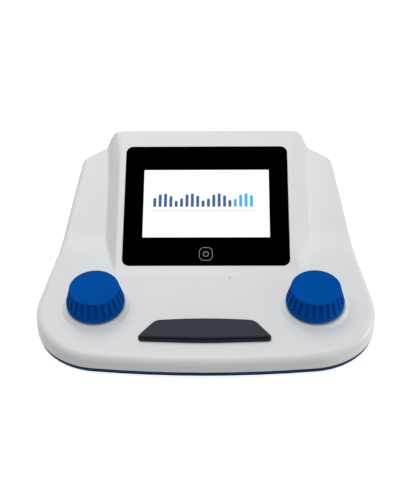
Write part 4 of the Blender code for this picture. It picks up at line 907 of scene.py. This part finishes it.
def upper_case():
    cavity = case_solid("cavity", WALL, ROOF, SPLIT - OVERRUN)
    posts = [
        cylinder("post", POST_RADIUS, POST_BASE, CASE_DEPTH, standing(x, y), SMALL_SIDES)
        for x, y in CASE_SCREW_PLACES
    ]
    shelf = 2 * (GAP + SHELF_MARGIN)
    posts.append(block("shelf", GLASS_WIDTH + shelf, GLASS_LENGTH + shelf, LCD_BACK, OVERRUN, CONSOLE))
    row = HINGE_PLACE - SWITCH_LEAD
    for side in (-1, 1):
        place = KEY @ Matrix.Translation((side * CRADLE_SCREW_SPREAD / 2, row, 0))
        posts.append(cylinder("hanger", CRADLE_POST_RADIUS, CRADLE_TOP + GAP, OVERRUN, place, SMALL_SIDES))
    cup = on_deck(MIC_OFFSET, MIC_SETBACK)
    cup_radius = MIC_RADIUS + GAP + MIC_CUP_WALL
    cup_base = DECK_UNDER - GAP - MIC_HEIGHT
    posts.append(cylinder("cup", cup_radius, cup_base, OVERRUN, cup, SMALL_SIDES))
    cut(cavity, *posts)

    case = case_solid("upper_case", 0, 0, SPLIT + GAP)
    cut(case, cavity)
    pocket = rounded_plate(
        "pocket",
        GLASS_WIDTH + 2 * GAP,
        GLASS_LENGTH + 2 * GAP,
        GLASS_CORNER + GAP,
        SHELF_FRONT,
        OVERRUN,
        0,
        CONSOLE,
    )
    low = LCD_BACK - OVERRUN
    window = block("window", LCD_WIDTH + 2 * GAP, LCD_LENGTH + 2 * GAP, low, OVERRUN, SCREEN)
    cut(case, pocket, window)
    slope = (SEAT_FOOT_RADIUS - SEAT_TOP_RADIUS) / SEAT_HEIGHT
    sunk = WALL / 2
    for dial in DIALS.values():
        profile = [(SEAT_FOOT_RADIUS + slope * sunk, -SEAT_HEIGHT - sunk)]
        for angle in quarter_turn(EDGE_STEPS):
            radius = SEAT_TOP_RADIUS - SEAT_EDGE * (1 - math.cos(angle))
            profile.append((radius, -SEAT_EDGE * (1 - math.sin(angle))))
        join(case, turned("seat", profile, dial))
        cut(case, cylinder("bushing_hole", BUSHING_RADIUS + GAP, -CASE_DEPTH / 4, OVERRUN, dial))
    well = key_outline().inset(KEY_WELL_INSET, KEY_WELL_CORNER).loop()
    window_place = standing(0, BACK - WALL)
    half = WINDOW_HEIGHT / 2
    cut(
        case,
        grown("well", [ring(well, DECK_UNDER - OVERRUN), ring(well, OVERRUN)], KEY),
        cylinder("mic_pocket", MIC_RADIUS + GAP, cup_base - OVERRUN, DECK_UNDER, cup, SMALL_SIDES),
        cylinder("mic_hole", MIC_HOLE_RADIUS, DECK_UNDER - GAP, OVERRUN, cup, SMALL_SIDES),
        block("rear_window", WINDOW_WIDTH, 2 * OVERRUN, JACK_AXIS - half, JACK_AXIS + half, window_place),
    )
    pilots = []
    for x, y in CASE_SCREW_PLACES:
        low, high = POST_BASE - OVERRUN, POST_BASE + OVERRUN
        pilots.append(cylinder("pilot", SCREW_SHANK + GAP, low, high, standing(x, y), SMALL_SIDES))
    cut(case, *pilots)
    dress(case, case_white.material, nodes=["upper_cover"])


def base():
    outline = case_outline()
    lean = math.tan(TRAY_UNDERCUT)
    low_offset = -(SPLIT - UNDERSIDE) * lean
    lip = -WALL - GAP
    soft = TRAY_ROUND
    rings = [
        ring(outline.loop(low_offset - soft), UNDERSIDE),
        ring(outline.loop(low_offset - soft / 4), UNDERSIDE + soft / 4),
        ring(outline.loop(low_offset + soft * lean), UNDERSIDE + soft),
        ring(outline.loop(-soft / 4), SPLIT - soft / 4),
        ring(outline.loop(-soft / 4), SPLIT),
        ring(outline.loop(lip), SPLIT),
        ring(outline.loop(lip), SPLIT + LIP_HEIGHT),
    ]
    tray = grown("base_shell", rings)
    inside = outline.loop(lip - LIP_WALL)
    floor_top = UNDERSIDE + FLOOR
    cut(tray, grown("inside", [ring(inside, floor_top), ring(inside, SPLIT + OVERRUN)]))
    sunk = floor_top - FLOOR / 2
    posts = []
    for x, y in CASE_SCREW_PLACES:
        posts.append(cylinder("tube", TUBE_RADIUS, sunk, TUBE_TOP, standing(x, y), SMALL_SIDES))
    for x, y in BOARD_SCREW_PLACES:
        place = standing(x, y)
        posts.append(cylinder("standoff", STANDOFF_RADIUS, sunk, STANDOFF_TOP, place, SMALL_SIDES))
    join(tray, *posts)
    holes = []
    head_room = UNDERSIDE + SCREW_SINK + SCREW_HEAD_HEIGHT + GAP
    for x, y in CASE_SCREW_PLACES:
        place = standing(x, y)
        head_hole = SCREW_HEAD_RADIUS + GAP
        shank_hole = SCREW_SHANK + GAP
        holes.append(cylinder("head_hole", head_hole, -OVERRUN, head_room, place, SMALL_SIDES * 2))
        holes.append(cylinder("shank_hole", shank_hole, 0, TUBE_TOP + OVERRUN, place, SMALL_SIDES))
    for x, y in FOOT_PLACES:
        foot_top = UNDERSIDE + FOOT_SINK
        holes.append(cylinder("foot_seat", FOOT_ROOM_RADIUS, -OVERRUN, foot_top, standing(x, y)))
    for x, y in BOARD_SCREW_PLACES:
        low, high = STANDOFF_TOP - OVERRUN, STANDOFF_TOP + PILOT_RISE
        holes.append(cylinder("pilot", GAP + PILOT_RADIUS, low, high, standing(x, y), SMALL_SIDES))
    cut(tray, *holes)
    dress(tray, tray_blue.material, nodes=["base_tray"])


def case_screws():
    """Pan heads with a cross recess, up in their holes."""
    head = UNDERSIDE + SCREW_SINK
    soft = SCREW_HEAD_ROUND
    profile = [
        (SCREW_HEAD_RADIUS - soft, head),
        (SCREW_HEAD_RADIUS - soft / 3, head + soft / 3),
        (SCREW_HEAD_RADIUS, head + soft),
        (SCREW_HEAD_RADIUS, head + SCREW_HEAD_HEIGHT),
        (SCREW_SHANK, head + SCREW_HEAD_HEIGHT),
        (SCREW_SHANK, head + SCREW_HEAD_HEIGHT + SCREW_REACH),
    ]
    first = turned("case_fastener", profile, sides=SMALL_SIDES * 2)
    slot_length = SCREW_HEAD_RADIUS * RECESS_LENGTH_SHARE
    slot_width = SCREW_HEAD_RADIUS * RECESS_WIDTH_SHARE
    slot_top = head + SCREW_HEAD_HEIGHT * RECESS_DEPTH_SHARE
    for turn in (0, math.pi / 2):
        place = Matrix.Rotation(turn, 4, "Z")
        cut(first, block("recess", slot_length, slot_width, head - SCREW_SINK, slot_top, place))
    for index, (x, y) in enumerate(CASE_SCREW_PLACES, 1):
        turn = Matrix.Rotation(index, 4, "Z")
        screw = copied(first, f"case_fastener_{index}", standing(x, y) @ turn)
        dress(screw, steel.material, nodes=[f"case_screw_{index}"])
    bpy.data.objects.remove(first)


# Screen


def screen():
    glass = rounded_plate(
        "front_glass", GLASS_WIDTH, GLASS_LENGTH, GLASS_CORNER, -GLASS_THICKNESS, 0, GLASS_EDGE, CONSOLE
    )
    dress(glass, glass_black.material, nodes=["touch_glass"])
    lit_area = rounded_plate(
        "lit_area", LIT_WIDTH, LIT_LENGTH, LIT_CORNER, -PRINT_DEPTH, PRINT_DEPTH, 0, SCREEN
    )
    dress(lit_area, screen_lit.material)
    level_graphic()
    power_mark()


def printed(name, width, height, corner, x, y):
    """A thin plate on the screen."""
    place = SCREEN @ Matrix.Translation((x, y, 0))
    return rounded_plate(name, width, height, corner, 0, 2 * PRINT_DEPTH, 0, place)


def level_graphic():
    """Bars of a rising and falling level, with a dotted base line, as the screen's picture."""
    start = BAR_START + BAR_WIDTH / 2
    bars = []
    for index in range(BAR_COUNT):
        swing = abs(math.sin(index * BAR_TURN + BAR_FIRST_TURN))
        height = BAR_LEAST_HEIGHT + BAR_SWING * swing
        x = start + index * BAR_PITCH
        bars.append(printed("bar", BAR_WIDTH, height, BAR_CORNER, x, BAR_FOOT + height / 2))
    dress(welded("level_bars", bars), screen_blue.material)
    dots = []
    for index in range(2 * BAR_COUNT):
        x = start + index * BAR_PITCH / 2
        dots.append(printed("dot", DOT_SIZE, DOT_SIZE, DOT_CORNER, x, BAR_FOOT - DOT_DROP))
    dress(welded("base_line", dots), screen_grey.material)


def welded(name, pieces):
    """Separate pieces as one object."""
    bpy.ops.object.select_all(action="DESELECT")
    for piece in pieces:
        piece.select_set(True)
    bpy.context.view_layer.objects.active = pieces[0]
    bpy.ops.object.join()
    pieces[0].name = name
    return pieces[0]


def power_mark():
    """The printed touch key: a rounded square round an open ring and its upright."""
    place = CONSOLE @ Matrix.Translation((MARK_COLUMN, MARK_ROW, 0))
    low, high = -PRINT_DEPTH, PRINT_DEPTH
    square = rounded_plate("power_mark", MARK_WIDTH, MARK_HEIGHT, MARK_CORNER, low, high, 0)
    width = MARK_WIDTH - 2 * MARK_STROKE
    height = MARK_HEIGHT - 2 * MARK_STROKE
    cut(square, rounded_plate("inner", width, height, MARK_CORNER - MARK_STROKE, -GAP, GAP, 0))
    arc = cylinder("arc", MARK_RING_RADIUS, low, high)
    mouth = Matrix.Translation((0, MARK_RING_RADIUS, 0))
    cut(
        arc,
        cylinder("arc_inside", MARK_RING_RADIUS - MARK_RING_STROKE, -GAP, GAP),
        block("arc_gap", MARK_RING_MOUTH, 2 * MARK_RING_RADIUS, -GAP, GAP, mouth),
    )
    upright = rounded_plate(
        "upright",
        MARK_RING_STROKE,
        MARK_UPRIGHT_LENGTH,
        MARK_RING_STROKE / 2,
        low,
        high,
        0,
        Matrix.Translation((0, MARK_UPRIGHT_RISE, 0)),
    )
    mark = settle(welded("power_mark", [square, arc, upright]), place)
    dress(mark, print_grey.material)


# Dials


def flute_share(turn):
    """How deep a groove is at a turn round the knob, from 0 to 1."""
    across = (turn * FLUTES / math.tau) % 1
    away = abs(across - 1 / 2) / (FLUTE_SHARE / 2)
    return (1 + math.cos(math.pi * away * away)) / 2 if away < 1 else 0


def knob_ring(radius, height, depth):
    points = []
    for index in range(FLUTES * FLUTE_POINTS):
        turn = math.tau * index / (FLUTES * FLUTE_POINTS)
        reach = radius - depth * flute_share(turn)
        points.append((reach * math.cos(turn), reach * math.sin(turn), height))
    return points


def knob(name, side):
    low = KNOB_LIFT
    top = low + KNOB_HEIGHT
    band = low + KNOB_BAND_HEIGHT
    edge = top - KNOB_EDGE
    rings = [
        knob_ring(KNOB_BASE_RADIUS - KNOB_FOOT_TUCK, low, 0),
        knob_ring(KNOB_BASE_RADIUS - KNOB_FOOT_TUCK / 2, low + KNOB_FOOT_HEIGHT / 4, 0),
        knob_ring(KNOB_BASE_RADIUS - KNOB_FOOT_TUCK / 8, low + KNOB_FOOT_HEIGHT / 2, 0),
        knob_ring(KNOB_BASE_RADIUS, low + KNOB_FOOT_HEIGHT, 0),
        knob_ring(KNOB_BASE_RADIUS, band, 0),
    ]
    lean = (KNOB_BASE_RADIUS - KNOB_TOP_RADIUS) / (edge - band)
    for share, depth_share in FLUTE_MOUTH_SHARES:
        rise = share * FLUTE_DEPTH
        depth = depth_share * FLUTE_DEPTH
        rings.append(knob_ring(KNOB_BASE_RADIUS - lean * rise, band + rise, depth))
    rings.append(knob_ring((KNOB_BASE_RADIUS + KNOB_TOP_RADIUS) / 2, (band + edge) / 2, FLUTE_DEPTH))
    rings.append(knob_ring(KNOB_TOP_RADIUS, edge - FLUTE_DEPTH / 2, FLUTE_DEPTH))
    for angle in quarter_turn(EDGE_STEPS):
        radius = KNOB_TOP_RADIUS - KNOB_EDGE * (1 - math.cos(angle))
        depth = 0 if angle else FLUTE_DEPTH / 2
        rings.append(knob_ring(radius, edge + KNOB_EDGE * math.sin(angle), depth))
    dish = KNOB_TOP_RADIUS - KNOB_EDGE - KNOB_DISH_MARGIN
    for share in KNOB_DISH_SHARES:
        drop = KNOB_DISH * (1 - (1 - share) ** 2)
        rings.append(knob_ring(dish * (1 - share), top - drop, 0))
    piece = grown(name, rings)
    cup_top = top - KNOB_TOP_THICKNESS
    cup = [
        (KNOB_BASE_RADIUS - KNOB_WALL, low - OVERRUN),
        (KNOB_BASE_RADIUS - KNOB_WALL, band),
        (KNOB_TOP_RADIUS - KNOB_WALL, cup_top),
        (HUB_RADIUS, cup_top),
        (HUB_RADIUS, HUB_START),
    ]
    bore = cylinder("bore", SHAFT_ROOM, HUB_START - OVERRUN, SHAFT_RISE + GAP)
    cut(piece, turned("cup", cup), bore)
    settle(piece, DIALS[side])
    dress(piece, knob_blue.material, f"{side}_dial", [f"{side}_knob"])


# Tone key


def key_bar():
    outline = key_outline()
    rings = [ring(outline.loop(-GAP / 2), KEY_UNDER), ring(outline.loop(), KEY_UNDER + GAP / 2)]
    for angle in quarter_turn(KEY_EDGE_STEPS):
        offset = -KEY_ROUND * (1 - math.cos(angle))
        rings.append(ring(outline.loop(offset), KEY_TOP - KEY_ROUND * (1 - math.sin(angle))))
    piece = grown("key_bar", rings, KEY)
    sunk = KEY_UNDER + KEY_PLATE / 2
    for side in (-1, 1):
        place = KEY @ Matrix.Translation((side * HINGE_SPREAD / 2, HINGE_PLACE, -HINGE_DEPTH))
        sideways = place @ Matrix.Rotation(math.pi / 2, 4, "Y")
        half = HINGE_ARM_WIDTH / 2
        arm = block("arm", HINGE_ARM_WIDTH, 2 * HINGE_EYE_RADIUS, 0, sunk + HINGE_DEPTH, place)
        # A hair smaller than the arm, so that their faces don't coincide
        eye = HINGE_EYE_RADIUS * HINGE_EYE_SHARE
        join(piece, arm, cylinder("eye", eye, -half, half, sideways, SMALL_SIDES))
        cut(piece, cylinder("bore", HINGE_BORE, -2 * half, 2 * half, sideways, SMALL_SIDES))
    plunger = KEY @ Matrix.Translation((0, HINGE_PLACE - SWITCH_LEAD, 0))
    join(piece, cylinder("plunger", PLUNGER_RADIUS, PLUNGER_LOW, sunk, plunger, SMALL_SIDES))
    dress(piece, key_dark.material, "key", ["tone_key"])


def key_lip():
    outline = key_outline()
    rings = [ring(outline.loop(SURROUND_STEP), GAP)]
    for angle in quarter_turn(EDGE_STEPS):
        offset = SURROUND_STEP - SURROUND_ROUND * (1 - math.cos(angle))
        height = SURROUND_TOP - SURROUND_ROUND * (1 - math.sin(angle))
        rings.append(ring(outline.loop(offset), height))
    piece = grown("key_lip", rings, KEY)
    well = outline.inset(KEY_WELL_INSET, KEY_WELL_CORNER).loop()
    cut(piece, grown("well", [ring(well, -OVERRUN), ring(well, 2 * OVERRUN)], KEY))
    dress(piece, surround_dark.material, nodes=["key_surround"])


# Rear


def jack_rings():
    """A bright ring round each jack's mouth, on the socket's collar."""
    profile = [
        (JACK_RING_RADIUS, -JACK_RING_SINK),
        (JACK_RING_RADIUS, JACK_RING_RISE / 2),
        (JACK_RING_RADIUS - JACK_RING_BEVEL, JACK_RING_RISE),
        (JACK_RING_MOUTH, JACK_RING_RISE),
    ]
    for index in range(JACK_COUNT):
        piece = turned(f"jack_ring_{index + 1}", profile)
        cut(piece, cylinder("mouth", JACK_BORE + GAP / 2, -OVERRUN, OVERRUN))
        settle(piece, REAR @ Matrix.Translation((JACK_START + index * JACK_PITCH, 0, 0)))
        dress(piece, steel.material)


# Stage


def paint_white(material_tree, surface, strength, output):
    """White where the camera, a reflection or glass sees it, and plain light elsewhere."""
    nodes = material_tree.nodes
    path = nodes.new("ShaderNodeLightPath")
    seen = path.outputs["Is Camera Ray"]
    for name in ("Is Glossy Ray", "Is Transmission Ray"):
        either = nodes.new("ShaderNodeMath")
        either.operation = "MAXIMUM"
        material_tree.links.new(seen, either.inputs[0])
        material_tree.links.new(path.outputs[name], either.inputs[1])
        seen = either.outputs[0]
    mixed = nodes.new("ShaderNodeMixShader")
    material_tree.links.new(seen, mixed.inputs[0])
    material_tree.links.new(surface, mixed.inputs[1])
    material_tree.links.new(strength, mixed.inputs[2])
    material_tree.links.new(mixed.outputs[0], output.inputs["Surface"])


ROOM_COLOUR = (0.985, 0.99, 1, 1)
ROOM_LIGHT = 0.28
FLOOR_SIZE = 8
PAPER_COLOUR = (0.6, 0.6, 0.6, 1)
PAPER_ROUGHNESS = 0.9
PAPER_GLOW = 0.85


def stage_set():
    world = bpy.data.worlds.new("studio")
    bpy.context.scene.world = world
    world.use_nodes = True
    tree = world.node_tree
    room = tree.nodes["Background"]
    room.inputs["Color"].default_value = ROOM_COLOUR
    room.inputs["Strength"].default_value = ROOM_LIGHT
    white = tree.nodes.new("ShaderNodeBackground")
    white.inputs["Color"].default_value = WHITE
    white.inputs["Strength"].default_value = 1
    paint_white(tree, room.outputs[0], white.outputs[0], tree.nodes["World Output"])

    floor = added("floor", bpy.ops.mesh.primitive_plane_add, size=FLOOR_SIZE)
    paper = bpy.data.materials.new("paper")
    paper.use_nodes = True
    tree = paper.node_tree
    plain = tree.nodes["Principled BSDF"]
    plain.inputs["Base Color"].default_value = PAPER_COLOUR
    plain.inputs["Roughness"].default_value = PAPER_ROUGHNESS
    glow = tree.nodes.new("ShaderNodeEmission")
    glow.inputs["Strength"].default_value = PAPER_GLOW
    both = tree.nodes.new("ShaderNodeAddShader")
    tree.links.new(plain.outputs[0], both.inputs[0])
    tree.links.new(glow.outputs[0], both.inputs[1])
    paint_white(tree, plain.outputs[0], both.outputs[0], tree.nodes["Material Output"])
    floor.data.materials.append(paper)


# Area lamps, with their places and sizes in metres and powers in watts
LAMPS = {
    "overhead": {"place": (-0.17, 0.14, 1.3), "size": 1.2, "power": 12.7},
    "side": {"place": (1.3, 0.1, 0.11), "size": 0.2, "power": 4.6},
    "front": {"place": (1.0, -1.15, 0.11), "size": 0.2, "power": 2.5},
}


def lamp(name, place, size, power):
    """A lamp that points at the origin."""
    bpy.ops.object.light_add(type="AREA", location=place)
    light = bpy.context.object
    light.name = name
    light.data.size = size
    light.data.energy = power
    light.rotation_euler = (-Vector(place)).to_track_quat("-Z", "Y").to_euler()


# The camera, as solved from the photo: its offset from the glass's middle, in the frame's
# directions, its angles, and its focal length, frame height and middle column in pixels
CAMERA_OFFSET = Vector((16.73 * MM, -741.34 * MM, 508.3 * MM))
CAMERA_PITCH = math.radians(36.905)
CAMERA_TURN = math.radians(1.262)
CAMERA_ROLL = math.radians(-0.854)
FRAME_HEIGHT = 500
FOCAL_LENGTH = 1050
SENSOR = 36
MIDDLE_COLUMN = 7.455
NEAREST = 10 * MM


def camera():
    bpy.ops.object.camera_add()
    eye = bpy.context.object
    eye.name = "eye"
    place = CONSOLE.translation + CAMERA_OFFSET
    look = Matrix.Rotation(CAMERA_TURN, 4, "Z") @ Matrix.Rotation(math.pi / 2 - CAMERA_PITCH, 4, "X")
    eye.matrix_world = Matrix.Translation(place) @ look @ Matrix.Rotation(CAMERA_ROLL, 4, "Z")
    eye.data.sensor_fit = "VERTICAL"
    eye.data.sensor_height = SENSOR
    eye.data.lens = FOCAL_LENGTH / FRAME_HEIGHT * SENSOR
    eye.data.shift_x = -MIDDLE_COLUMN / FRAME_HEIGHT
    eye.data.clip_start = NEAREST
    bpy.context.scene.camera = eye
    bpy.context.scene.view_settings.view_transform = "Standard"


camera()
stage_set()
for name, setting in LAMPS.items():
    lamp(name, **setting)
dress_frame()
upper_case()
base()
case_screws()
screen()
knob("left_dial_knob", "left")
knob("right_dial_knob", "right")
key_bar()
key_lip()
jack_rings()
